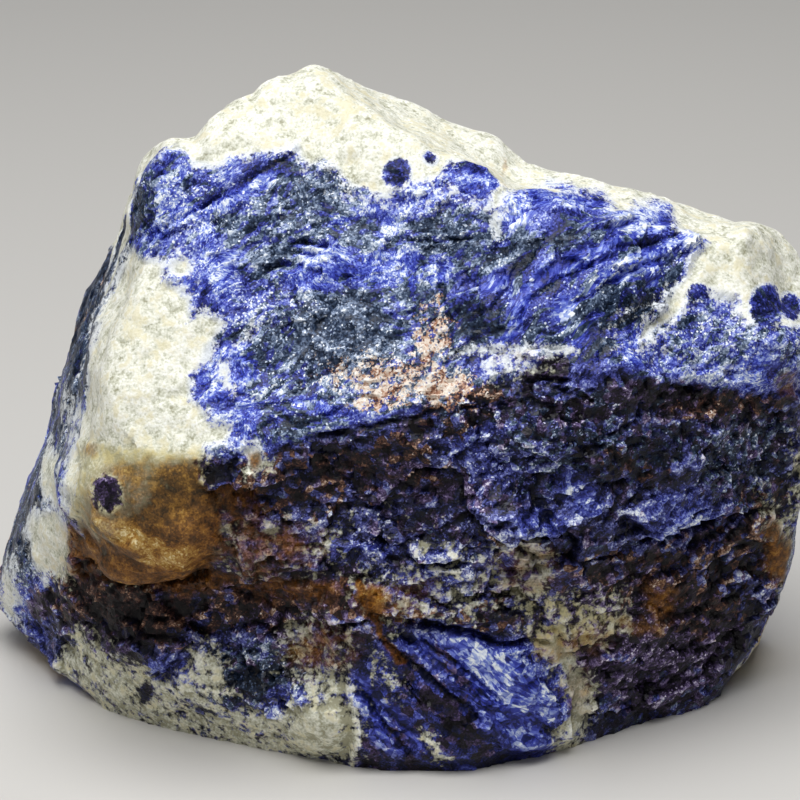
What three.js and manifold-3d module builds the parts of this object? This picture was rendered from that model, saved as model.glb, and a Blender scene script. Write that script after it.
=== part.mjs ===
// A hand-sized piece of rough sodalite: one broken block of blue sodalite grown through with pale rock.
// Millimetres, +Z up. The best side faces -Y, and the stone rests on its flat underside at z = 0.

import * as THREE from "three";
import { ImprovedNoise } from "three/addons/math/ImprovedNoise.js";
import { mergeVertices } from "three/addons/utils/BufferGeometryUtils.js";
import Module from "manifold-3d";

// Driving dimensions of the stone.
const LENGTH = 101;
const DEPTH = 66;
const HEIGHT = 75.5;

// The heart is the point inside the stone that every break face is measured from.
const HEART = new THREE.Vector3(0, 0, 0.469 * HEIGHT);

// Each of an icosahedron's 20 faces is cut into (SURFACE_DETAIL + 1) squared triangles.
const SURFACE_DETAIL = 19;

// How sharply two break faces meet: a higher power leaves less rounding on the edge.
const EDGE_POWER = 56;

// Width over which a lump or a scar runs out into the surface around it.
const BLEND = 1.6;

// The flat faces along which the block broke. bearing is the way a face looks, in degrees from
// the front (0) to the right (90), rise is how far it looks up, reach is its distance from the heart.
const BREAK_FACES = [
  { name: "bright slope", bearing: -9, rise: 35, reach: 0.442 * DEPTH },
  { name: "right slope", bearing: 42, rise: 36, reach: 0.6 * DEPTH },
  { name: "pale cap", bearing: -2, rise: 57, reach: 0.522 * DEPTH },
  { name: "roof right", bearing: 92, rise: 68, reach: 0.472 * HEIGHT },
  { name: "roof left", bearing: -92, rise: 69, reach: 0.564 * HEIGHT },
  { name: "left shoulder", bearing: -88, rise: 52, reach: 0.551 * HEIGHT },
  { name: "left side", bearing: -84, rise: 20, reach: 0.373 * LENGTH },
  { name: "left front", bearing: -50, rise: -8, reach: 0.606 * DEPTH },
  { name: "lower left front", bearing: -25, rise: -20, reach: 0.573 * DEPTH },
  { name: "front", bearing: 2, rise: -2, reach: 0.442 * DEPTH },
  { name: "right front", bearing: 31, rise: -10, reach: 0.53 * DEPTH },
  { name: "right end", bearing: 86, rise: 0, reach: 0.482 * LENGTH },
  { name: "right underside", bearing: 70, rise: -22, reach: 0.498 * LENGTH },
  { name: "left underside", bearing: -80, rise: -66, reach: 0.483 * LENGTH },
  { name: "back", bearing: 176, rise: 8, reach: 0.43 * DEPTH },
  { name: "back right", bearing: 130, rise: 5, reach: 0.56 * DEPTH },
  { name: "back left", bearing: -140, rise: 12, reach: 0.5 * DEPTH },
  { name: "back roof right", bearing: 153, rise: 48, reach: 0.382 * HEIGHT },
  { name: "back roof left", bearing: -135, rise: 44, reach: 0.464 * HEIGHT },
];

// Lumps that swell out of the break faces: ellipsoids, centre and radii.
const LUMPS = [
  { name: "pale knob", centre: [36.5, -7, 48], radii: [13.5, 13, 12.2] },
  { name: "nose", centre: [-29, -16, 32.5], radii: [11, 12, 10] },
  { name: "upper ledge", centre: [17, -19.5, 41.5], radii: [13, 11.7, 10.5] },
  { name: "lower ledge", centre: [31, -14.5, 38], radii: [9, 11.5, 9] },
  { name: "lower block", centre: [10, -14, 6], radii: [14, 14.5, 11] },
];

// Hollows where thick flakes have come away, given the same way.
const SCARS = [
  { name: "recess beside the nose", centre: [-7, -57.3, 32], radii: [38, 30, 28] },
  { name: "recess below the ledges", centre: [17, -55.5, 24], radii: [32, 28.5, 13] },
  { name: "recess below the nose", centre: [-31, -51, 16], radii: [36, 30, 22] },
  { name: "crevice above the block", centre: [9, -40, 18], radii: [18, 12.5, 4] },
  { name: "roof hollow", centre: [18, -1, 90], radii: [34, 26, 24.8] },
];

// Small shallow spalls all over the broken surface: how many, how deep, and how round, least and most.
const SPALL_COUNT = 80;
const SPALL_DEPTH = [0.2, 0.9];
const SPALL_RADIUS = [10, 26];

// Unevenness between the spalls: waves of a span and a height, and tilted facets of a grain and a lean.
const WAVES = [
  { span: 11, height: 0.8 },
  { span: 4.5, height: 0.3 },
];
const FACETS = [
  { grain: 9, lean: 0.12 },
  { grain: 5, lean: 0.16 },
];

const STONE_COLOUR = 0x4b55a8;
const STONE_ROUGHNESS = 0.55;

// Corners closer than this are one corner.
const SAME_CORNER = 1e-4;

const noise = new ImprovedNoise();

/** Unit vector a break face looks along. */
function outward(bearing, rise) {
  const turn = THREE.MathUtils.degToRad(bearing);
  const lift = THREE.MathUtils.degToRad(rise);
  return new THREE.Vector3(
    Math.sin(turn) * Math.cos(lift),
    -Math.cos(turn) * Math.cos(lift),
    Math.sin(lift),
  );
}

const faces = BREAK_FACES.map(({ bearing, rise, reach }) => ({ normal: outward(bearing, rise), reach }));

/** Distance from the heart to the block's surface along a direction, with softened edges. */
function blockReach(direction) {
  let sum = 0;
  for (const { normal, reach } of faces) {
    const share = normal.dot(direction) / reach;
    if (share > 0) {
      sum += share ** EDGE_POWER;
    }
  }
  return sum ** (-1 / EDGE_POWER);
}

/** The way the block's surface looks where a direction from the heart leaves it. */
function blockNormal(direction) {
  const distance = blockReach(direction);
  const blend = new THREE.Vector3();
  for (const { normal, reach } of faces) {
    const share = (normal.dot(direction) * distance) / reach;
    if (share > 0) {
      blend.addScaledVector(normal, share ** EDGE_POWER);
    }
  }
  return blend.normalize();
}

/** A repeatable value from 0 to 1 for a grid cell and a channel, with no visible pattern. */
function cellValue(x, y, z, channel) {
  const wave = Math.sin(x * 127.1 + y * 311.7 + z * 74.7 + channel * 53.9) * 43758.5453;
  return wave - Math.floor(wave);
}

/** The small spalls: balls that just graze the block, spread evenly over every side. */
function spalls() {
  const goldenAngle = Math.PI * (3 - Math.sqrt(5));
  return Array.from({ length: SPALL_COUNT }, (_, index) => {
    const height = 1 - (2 * index + 1) / SPALL_COUNT;
    const radiusThere = Math.sqrt(1 - height * height);
    const direction = new THREE.Vector3()
      .setFromCylindricalCoords(radiusThere, goldenAngle * index, height);
    const depth = THREE.MathUtils.lerp(...SPALL_DEPTH, cellValue(index, 0, 0, 1));
    const radius = THREE.MathUtils.lerp(...SPALL_RADIUS, cellValue(index, 0, 0, 2));
    const normal = blockNormal(direction);
    const surface = direction.multiplyScalar(blockReach(direction)).add(HEART);
    const centre = surface.addScaledVector(normal, radius - depth).toArray();
    return { centre, radii: [radius, radius, radius] };
  });
}

/** A lump or scar with the stretch that takes it to a unit ball, and the heart seen from there. */
function prepare({ centre, radii }) {
  const toBall = new THREE.Vector3(1, 1, 1).divide(new THREE.Vector3(...radii));
  const start = HEART.clone().sub(new THREE.Vector3(...centre)).multiply(toBall);
  return { toBall, start };
}

const lumps = LUMPS.map(prepare);
const scars = [...SCARS, ...spalls()].map(prepare);

/** Near and far distances at which a ray from the heart meets an ellipsoid, or null where it misses. */
function crossings({ toBall, start }, direction) {
  const step = direction.clone().multiply(toBall);
  const a = step.dot(step);
  const b = start.dot(step);
  const c = start.dot(start) - 1;
  const square = b * b - a * c;
  if (square <= 0 || b >= 0) {
    return null;
  }
  const root = Math.sqrt(square);
  return { near: (-b - root) / a, far: (-b + root) / a };
}

/** The larger of two distances, with the step between them eased over the blend width. */
function easedMax(first, second) {
  const ease = Math.max(BLEND - Math.abs(first - second), 0) / BLEND;
  return Math.max(first, second) + ease * ease * BLEND * 0.25;
}

/** The smaller of two distances, eased the same way. */
function easedMin(first, second) {
  return -easedMax(-first, -second);
}

/** Height of the broken-crystal facets at a point: every grain is one small tilted plane. */
function facetHeight(point, { grain, lean }) {
  const place = point.clone().divideScalar(grain);
  const home = place.clone().floor();
  let nearest = Infinity;
  let height = 0;
  for (let i = 0; i < 27; i += 1) {
    const x = home.x - 1 + (i % 3);
    const y = home.y - 1 + (Math.floor(i / 3) % 3);
    const z = home.z - 1 + Math.floor(i / 9);
    const seed = new THREE.Vector3(cellValue(x, y, z, 1), cellValue(x, y, z, 2), cellValue(x, y, z, 3));
    const away = place.clone().sub(seed).sub(new THREE.Vector3(x, y, z));
    if (away.lengthSq() < nearest) {
      nearest = away.lengthSq();
      const tilt = new THREE.Vector3(cellValue(x, y, z, 4), cellValue(x, y, z, 5), cellValue(x, y, z, 6));
      height = lean * grain * away.dot(tilt.subScalar(0.5));
    }
  }
  return height;
}

/** Height of the unevenness that lies over the break faces at a point. */
function unevenness(point) {
  let height = 0;
  for (const wave of WAVES) {
    const place = point.clone().divideScalar(wave.span);
    height += wave.height * noise.noise(place.x, place.y, place.z);
  }
  for (const facet of FACETS) {
    height += facetHeight(point, facet);
  }
  return height;
}

/** Distance from the heart to the finished rough surface along a direction. */
function surfaceReach(direction) {
  let reach = blockReach(direction);
  for (const lump of lumps) {
    const met = crossings(lump, direction);
    if (met) {
      reach = easedMax(reach, met.far);
    }
  }
  for (const scar of scars) {
    const met = crossings(scar, direction);
    if (met) {
      reach = easedMin(reach, met.near);
    }
  }
  const point = direction.clone().multiplyScalar(reach).add(HEART);
  return reach + unevenness(point);
}

const wasm = await Module();
wasm.setup();

/** Closed solid of a triangle mesh, with its shared corners merged. */
function solidOf(geometry) {
  geometry.deleteAttribute("normal");
  geometry.deleteAttribute("uv");
  const merged = mergeVertices(geometry, SAME_CORNER);
  return new wasm.Manifold(new wasm.Mesh({
    numProp: 3,
    vertProperties: new Float32Array(merged.attributes.position.array),
    triVerts: new Uint32Array(merged.index.array),
  }));
}

/** The rough block as a closed surface, every corner at its own distance from the heart. */
function roughBlock() {
  const geometry = new THREE.IcosahedronGeometry(1, SURFACE_DETAIL);
  const corners = geometry.attributes.position;
  for (let i = 0; i < corners.count; i += 1) {
    const direction = new THREE.Vector3().fromBufferAttribute(corners, i).normalize();
    const point = direction.clone().multiplyScalar(surfaceReach(direction)).add(HEART);
    corners.setXYZ(i, point.x, point.y, point.z);
  }
  return geometry;
}

/** The stone: the rough block cut level below, so that it stands on a real flat face, at its full size. */
function stoneGeometry() {
  const ground = new THREE.BoxGeometry(2 * LENGTH, 2 * DEPTH, HEIGHT).translate(0, 0, -0.5 * HEIGHT);
  const solid = solidOf(roughBlock()).subtract(solidOf(ground)).getMesh();
  const geometry = new THREE.BufferGeometry();
  geometry.setAttribute("position", new THREE.BufferAttribute(new Float32Array(solid.vertProperties), 3));
  geometry.setIndex(new THREE.BufferAttribute(new Uint32Array(solid.triVerts), 1));
  geometry.computeBoundingBox();
  const middle = geometry.boundingBox.getCenter(new THREE.Vector3());
  const size = geometry.boundingBox.getSize(new THREE.Vector3());
  geometry.translate(-middle.x, -middle.y, 0);
  geometry.scale(LENGTH / size.x, DEPTH / size.y, HEIGHT / size.z);
  geometry.computeVertexNormals();
  return geometry;
}

const sodalite = new THREE.Mesh(
  stoneGeometry(),
  new THREE.MeshStandardMaterial({ color: STONE_COLOUR, roughness: STONE_ROUGHNESS, metalness: 0 }),
);
sodalite.name = "sodalite_stone";

const part = new THREE.Group();
part.add(sodalite);

export default part;
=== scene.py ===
"""A rough block of sodalite: blue blades and ink-dark grains under a pale cap, rust and ochre on its front.

The stone is one closed piece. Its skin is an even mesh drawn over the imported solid, broken into small
cleavage faces, ledges and slits, and its minerals are mapped onto that skin as attributes that one rock
finish reads.
"""
import itertools
import logging
import math
from dataclasses import dataclass, field
from enum import Enum

import bpy
import numpy as np
from mathutils import Matrix, Vector


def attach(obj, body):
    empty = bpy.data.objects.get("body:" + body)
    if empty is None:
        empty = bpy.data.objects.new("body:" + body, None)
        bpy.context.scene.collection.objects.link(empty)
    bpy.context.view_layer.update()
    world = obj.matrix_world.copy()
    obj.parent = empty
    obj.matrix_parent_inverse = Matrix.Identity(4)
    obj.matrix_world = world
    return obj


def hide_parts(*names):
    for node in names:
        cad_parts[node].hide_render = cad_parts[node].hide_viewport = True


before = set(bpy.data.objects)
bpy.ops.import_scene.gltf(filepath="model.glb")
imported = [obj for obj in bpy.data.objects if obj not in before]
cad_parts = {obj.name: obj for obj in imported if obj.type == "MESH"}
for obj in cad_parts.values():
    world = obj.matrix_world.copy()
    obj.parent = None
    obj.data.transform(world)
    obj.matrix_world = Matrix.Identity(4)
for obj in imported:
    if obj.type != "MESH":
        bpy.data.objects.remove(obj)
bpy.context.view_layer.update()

log = logging.getLogger("sodalite")

MM = 0.001
CELL_PRIMES = (73856093, 19349663, 83492791)
CHANNEL_PRIME = 2654435761
STIRS = ((13, 1274126177), (15, 2246822519))
LAST_STIR = 16
WORD = 0xFFFFFFFF
CHANCE_STEPS = 0xFFFFFF
DRIFT_LEVELS = 4
DRIFT_FINER = 2.1
DRIFT_CHANNELS = 200
DRIFT_MOST = 1.4
HALF_LEAN = 0.5

Triple = tuple[float, float, float]
Colour = tuple[float, float, float, float]
Stops = tuple[tuple[float, Colour], ...]
Route = tuple[tuple[float, float], ...]
Socket = bpy.types.NodeSocket


def tint(red: int, green: int, blue: int) -> Colour:
    """Turns an everyday colour into the linear one that a shader takes.

    Args:
        red: Red, 0 to 255.
        green: Green, 0 to 255.
        blue: Blue, 0 to 255.

    Returns:
        The linear colour with full opacity.
    """
    parts = [channel / 255 for channel in (red, green, blue)]
    linear = [part / 12.92 if part <= 0.04045 else ((part + 0.055) / 1.055) ** 2.4 for part in parts]
    return (linear[0], linear[1], linear[2], 1.0)


def shades(*rows: tuple[float, int, int, int]) -> Stops:
    """Lists a mineral's colours from dark to light, each row a place from 0 to 1 and an everyday colour."""
    return tuple((place, tint(*colour)) for place, *colour in rows)


def ease(value: np.ndarray, low: float, high: float) -> np.ndarray:
    """Goes smoothly from 0 at low to 1 at high.

    Args:
        value: Values to ease.
        low: Value that gives 0.
        high: Value that gives 1.

    Returns:
        The eased shares.
    """
    share = np.clip((value - low) / (high - low), 0.0, 1.0)
    return share * share * (3.0 - 2.0 * share)


def chance(cells: np.ndarray, channel: int) -> np.ndarray:
    """Gives each whole-number cell its own repeatable value.

    Args:
        cells: Cell numbers, one row of three to each cell.
        channel: Which of the many independent sets of values is wanted.

    Returns:
        One value from 0 to 1 for each row.
    """
    products = cells.astype(np.int64) * np.array(CELL_PRIMES)
    code = np.bitwise_xor.reduce(products, axis=1) ^ (channel + 1) * CHANNEL_PRIME
    for shift, factor in STIRS:
        code = ((code ^ (code >> shift)) * factor) & WORD
    return ((code ^ (code >> LAST_STIR)) & CHANCE_STEPS) / CHANCE_STEPS


def waves(points: np.ndarray, span: float, channel: int) -> np.ndarray:
    """Makes a soft rise and fall in space.

    Args:
        points: Places in millimetres.
        span: Distance from one swell to the next, in millimetres.
        channel: Which set of swells is wanted.

    Returns:
        One value from -1 to 1 for each place.
    """
    place = points / span
    home = np.floor(place)
    part = ease(place - home, 0.0, 1.0)
    total = np.zeros(len(points))
    for corner in itertools.product((0, 1), repeat=3):
        share = np.where(np.array(corner, bool), part, 1.0 - part).prod(axis=1)
        total += share * chance(home + np.array(corner), channel)
    return 2.0 * total - 1.0


def drifts(points: np.ndarray, span: float, channel: int) -> np.ndarray:
    """Makes a rise and fall with finer ones on it, as natural stains have.

    Args:
        points: Places in millimetres.
        span: Distance from one broad swell to the next, in millimetres.
        channel: Which set of swells is wanted.

    Returns:
        One value from about -1 to 1 for each place.
    """
    total = np.zeros(len(points))
    for level in range(DRIFT_LEVELS):
        swells = waves(points, span / DRIFT_FINER ** level, channel + DRIFT_CHANNELS * level)
        total += swells / 2 ** level
    return total / DRIFT_MOST


def facets(places: np.ndarray, channel: int) -> tuple[np.ndarray, np.ndarray]:
    """Breaks space into grains that each end in a tilted plane, as a cleaved rock does.

    Args:
        places: Places measured in grains, so one grain is about 1 across.
        channel: Which set of grains is wanted. A set takes eight channels.

    Returns:
        The height of each place on its own grain's plane and each grain's own value, both about -0.5 to 0.5.
    """
    home = np.floor(places)
    nearest = np.full(len(places), np.inf)
    height = np.zeros(len(places))
    value = np.zeros(len(places))
    for step in itertools.product((-1, 0, 1), repeat=3):
        cell = home + np.array(step)
        draws = [chance(cell, channel + number) for number in range(8)]
        away = places - cell - np.stack(draws[:3], axis=1)
        distance = (away * away).sum(axis=1)
        slope = np.stack(draws[3:6], axis=1) - 0.5
        rise = (away * slope).sum(axis=1) + 0.5 * (draws[6] - 0.5)
        closer = distance < nearest
        nearest = np.where(closer, distance, nearest)
        height = np.where(closer, rise, height)
        value = np.where(closer, draws[7] - 0.5, value)
    return height, value


def gap_to(picture: np.ndarray, start: tuple[float, float], end: tuple[float, float]) -> np.ndarray:
    """Measures how far each place is seen from a straight line.

    Args:
        picture: Picture coordinates of the places.
        start: The line's start.
        end: The line's end.

    Returns:
        Distance in picture points.
    """
    run = np.array(end) - np.array(start)
    away = picture - np.array(start)
    share = np.clip((away @ run) / (run @ run), 0.0, 1.0)
    return np.linalg.norm(away - share[:, None] * run, axis=1)


class Mineral(Enum):
    """What a place on the stone is made of or stained with. The values name the mesh attributes."""

    PALE = "pale"
    ROYAL = "royal"
    PERIWINKLE = "periwinkle"
    NIGHT = "night"
    INK = "ink"
    FROST = "frost"
    GRIT = "grit"
    RUST = "rust"
    OCHRE = "ochre"
    OLIVE = "olive"
    VIOLET = "violet"


class Lean(Enum):
    """Which way the blades of a zone run, seen from the best side."""

    SWEEPING = 2.0
    RISING = 1.0
    LEVEL = 0.0
    FALLING = -1.0


@dataclass(frozen=True)
class Eye:
    """The place that the stone is looked at from, and the scale of the picture there.

    Picture coordinates run right and down from the picture's top left corner, in picture points.
    """

    elevation_deg: float = 22.0
    distance_mm: float = 420.0
    target_mm: Triple = (0.57, -1.80, 35.4)
    picture_points: int = 800
    mm_per_point: float = 0.12
    sensor_mm: float = 36.0

    @property
    def forward(self) -> np.ndarray:
        """The direction that the eye looks in."""
        angle = math.radians(self.elevation_deg)
        return np.array([0.0, math.cos(angle), -math.sin(angle)])

    @property
    def up(self) -> np.ndarray:
        """The picture's upward direction."""
        angle = math.radians(self.elevation_deg)
        return np.array([0.0, math.sin(angle), math.cos(angle)])

    @property
    def place_mm(self) -> np.ndarray:
        """The eye's own place."""
        return np.array(self.target_mm) - self.forward * self.distance_mm

    @property
    def lens_mm(self) -> float:
        """The focal length that gives the picture its scale."""
        return self.sensor_mm * self.distance_mm / (self.picture_points * self.mm_per_point)

    def picture(self, points: np.ndarray) -> np.ndarray:
        """Finds where places on the stone are seen.

        Args:
            points: Places in millimetres.

        Returns:
            Picture coordinates, one row of two to each place.
        """
        away = points - self.place_mm
        scale = self.distance_mm / (away @ self.forward) / self.mm_per_point
        middle = self.picture_points / 2
        return np.stack([middle + away[:, 0] * scale, middle - (away @ self.up) * scale], axis=1)

    def facing(self, points: np.ndarray, normals: np.ndarray) -> np.ndarray:
        """Says how squarely each place faces the eye.

        Args:
            points: Places in millimetres.
            normals: Outward directions there.

        Returns:
            1 for square on to -1 for turned away.
        """
        away = points - self.place_mm
        away /= np.linalg.norm(away, axis=1, keepdims=True)
        return -(away * normals).sum(axis=1)


@dataclass(frozen=True)
class Patch:
    """A rounded patch on the seen side, in picture points, turned in degrees."""

    x: float
    y: float
    wide: float
    tall: float
    turn: float = 0.0
    strength: float = 1.0

    @property
    def reach(self) -> float:
        """Half of the patch's shorter side."""
        return min(self.wide, self.tall) / 2

    def depth(self, picture: np.ndarray) -> np.ndarray:
        """Measures how far inside the patch each place lies.

        Args:
            picture: Picture coordinates of the places.

        Returns:
            Distance in picture points, positive inside.
        """
        angle = math.radians(self.turn)
        right = picture[:, 0] - self.x
        down = picture[:, 1] - self.y
        along = right * math.cos(angle) - down * math.sin(angle)
        across = right * math.sin(angle) + down * math.cos(angle)
        radius = np.sqrt((along / (self.wide / 2)) ** 2 + (across / (self.tall / 2)) ** 2)
        return (1.0 - radius) * self.reach


@dataclass(frozen=True)
class Outline:
    """An outline on the seen side: a closed run of corners in picture points."""

    corners: Route
    strength: float = 1.0
    reach: float = 40.0

    def depth(self, picture: np.ndarray) -> np.ndarray:
        """Measures how far inside the outline each place lies.

        Args:
            picture: Picture coordinates of the places.

        Returns:
            Distance in picture points, positive inside.
        """
        inside = np.zeros(len(picture), bool)
        gap = np.full(len(picture), np.inf)
        for start, end in zip(self.corners, self.corners[1:] + self.corners[:1]):
            gap = np.minimum(gap, gap_to(picture, start, end))
            if end[1] != start[1]:
                slant = (end[0] - start[0]) / (end[1] - start[1])
                crosses = (start[1] > picture[:, 1]) != (end[1] > picture[:, 1])
                inside ^= crosses & (picture[:, 0] - start[0] < (picture[:, 1] - start[1]) * slant)
        return np.where(inside, gap, -gap)


@dataclass(frozen=True)
class Vein:
    """A thin run on the seen side, through points given in picture points."""

    width: float
    route: Route
    strength: float = 1.0

    @property
    def reach(self) -> float:
        """Half of the vein's width."""
        return self.width / 2

    def depth(self, picture: np.ndarray) -> np.ndarray:
        """Measures how far inside the vein each place lies.

        Args:
            picture: Picture coordinates of the places.

        Returns:
            Distance in picture points, positive inside.
        """
        gaps = [gap_to(picture, start, end) for start, end in zip(self.route, self.route[1:])]
        return self.reach - np.min(gaps, axis=0)


CAP = (
    (60, 190), (137, 174), (153, 160), (176, 147), (196, 163), (216, 167), (236, 160), (268, 154),
    (298, 144), (301, 164), (318, 160), (334, 168), (347, 184), (380, 196), (412, 186), (446, 178),
    (452, 162), (488, 168), (492, 214), (500, 214), (504, 196), (546, 188), (602, 190), (612, 212),
    (640, 207), (668, 206), (678, 230), (704, 236), (690, 266), (668, 300), (640, 336), (652, 336),
    (688, 306), (706, 292), (736, 300), (746, 322), (776, 330), (800, 322), (830, 322), (830, 120),
    (420, 20), (200, 20),
)
SLAB = (
    (127, 250), (150, 258), (166, 264), (164, 279), (187, 297), (193, 315), (223, 317), (214, 345),
    (203, 362), (189, 376), (190, 397), (204, 405), (210, 420), (236, 428), (230, 440), (204, 450),
    (197, 470), (201, 490), (214, 502), (214, 548), (206, 567), (139, 584), (112, 578), (78, 552),
    (62, 500), (62, 470), (79, 401), (87, 362), (96, 320), (111, 285),
)
FOOT = (
    (62, 690), (66, 650), (84, 632), (104, 652), (148, 668), (176, 690), (194, 656), (206, 640), (216, 660),
    (232, 690), (262, 716), (300, 712), (306, 694), (322, 668), (340, 672), (348, 690), (340, 704),
    (350, 728), (356, 760), (200, 760), (90, 730),
)
NOSE_STAIN = (
    (128, 504), (150, 474), (214, 462), (232, 500), (222, 560), (204, 578), (139, 592), (100, 584),
    (66, 556), (64, 530), (84, 518), (108, 522),
)
FRONT_RUST = (
    (200, 470), (250, 452), (330, 440), (410, 414), (470, 404), (480, 440), (420, 470), (380, 500),
    (300, 520), (230, 520), (216, 560), (320, 575), (420, 590), (500, 600), (540, 640), (430, 632),
    (330, 625), (200, 632), (120, 585), (206, 567),
)
RIGHT_RUST = (
    (556, 552), (640, 545), (700, 540), (745, 490), (790, 470), (790, 520), (770, 570), (735, 630),
    (690, 640), (650, 635), (600, 590), (560, 590),
)
BLOCK_BRIGHT = (
    (426, 642), (500, 652), (546, 646), (552, 700), (542, 752), (508, 742), (470, 694),
)
BLOCK_BAND = (
    (394, 640), (420, 642), (468, 694), (512, 760), (380, 775), (360, 710), (388, 690),
)
BLOCK_STAIN = (
    (394, 640), (420, 642), (468, 694), (512, 760), (380, 775), (350, 710), (380, 680),
)
BROW = (
    (-60, 700), (10, 660), (40, 600), (62, 560), (78, 441), (150, 450), (215, 455), (260, 455), (330, 432),
    (412, 413), (450, 398), (520, 368), (560, 357), (640, 374), (700, 386), (860, 392),
)
RUNS: dict[Mineral, tuple[Outline | Vein, ...]] = {
    Mineral.PALE: (
        Outline(CAP), Outline(SLAB), Outline(FOOT, 0.56),
        Vein(20, ((520, 545), (536, 566), (524, 592)), 0.5), Vein(7, ((497, 205), (494, 222), (502, 238))),
        Vein(5, ((448, 352), (500, 352), (540, 352), (578, 351))),
        Vein(19, ((548, 640), (566, 668), (582, 690), (580, 712), (566, 744))),
        Vein(3, ((376, 660), (394, 690)), 0.5), Vein(3, ((430, 734), (444, 756)), 0.5),
    ),
    Mineral.PERIWINKLE: (
        Outline(BLOCK_BRIGHT, 0.75),
    ),
    Mineral.NIGHT: (
        # This vein down the left strip is dark slate rock and partly painted shade on that side.
        Vein(36, ((136, 196), (108, 262), (80, 320), (58, 400), (30, 480), (10, 560)), 0.7),
        Outline(BLOCK_BAND, 0.3),
    ),
    Mineral.INK: (
        # This vein down the left strip is dark slate rock and partly painted shade on that side.
        Vein(40, ((136, 196), (112, 262), (84, 320), (62, 400), (36, 480), (16, 560)), 0.7),
    ),
    Mineral.RUST: (
        Outline(FRONT_RUST, 0.5), Outline(RIGHT_RUST, 0.5),
    ),
    Mineral.OCHRE: (
        Outline(NOSE_STAIN, 0.86), Vein(9, ((355, 583), (362, 602), (385, 643), (400, 660))),
    ),
    Mineral.VIOLET: (
        Outline(BLOCK_STAIN, 0.34),
    ),
}
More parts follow.
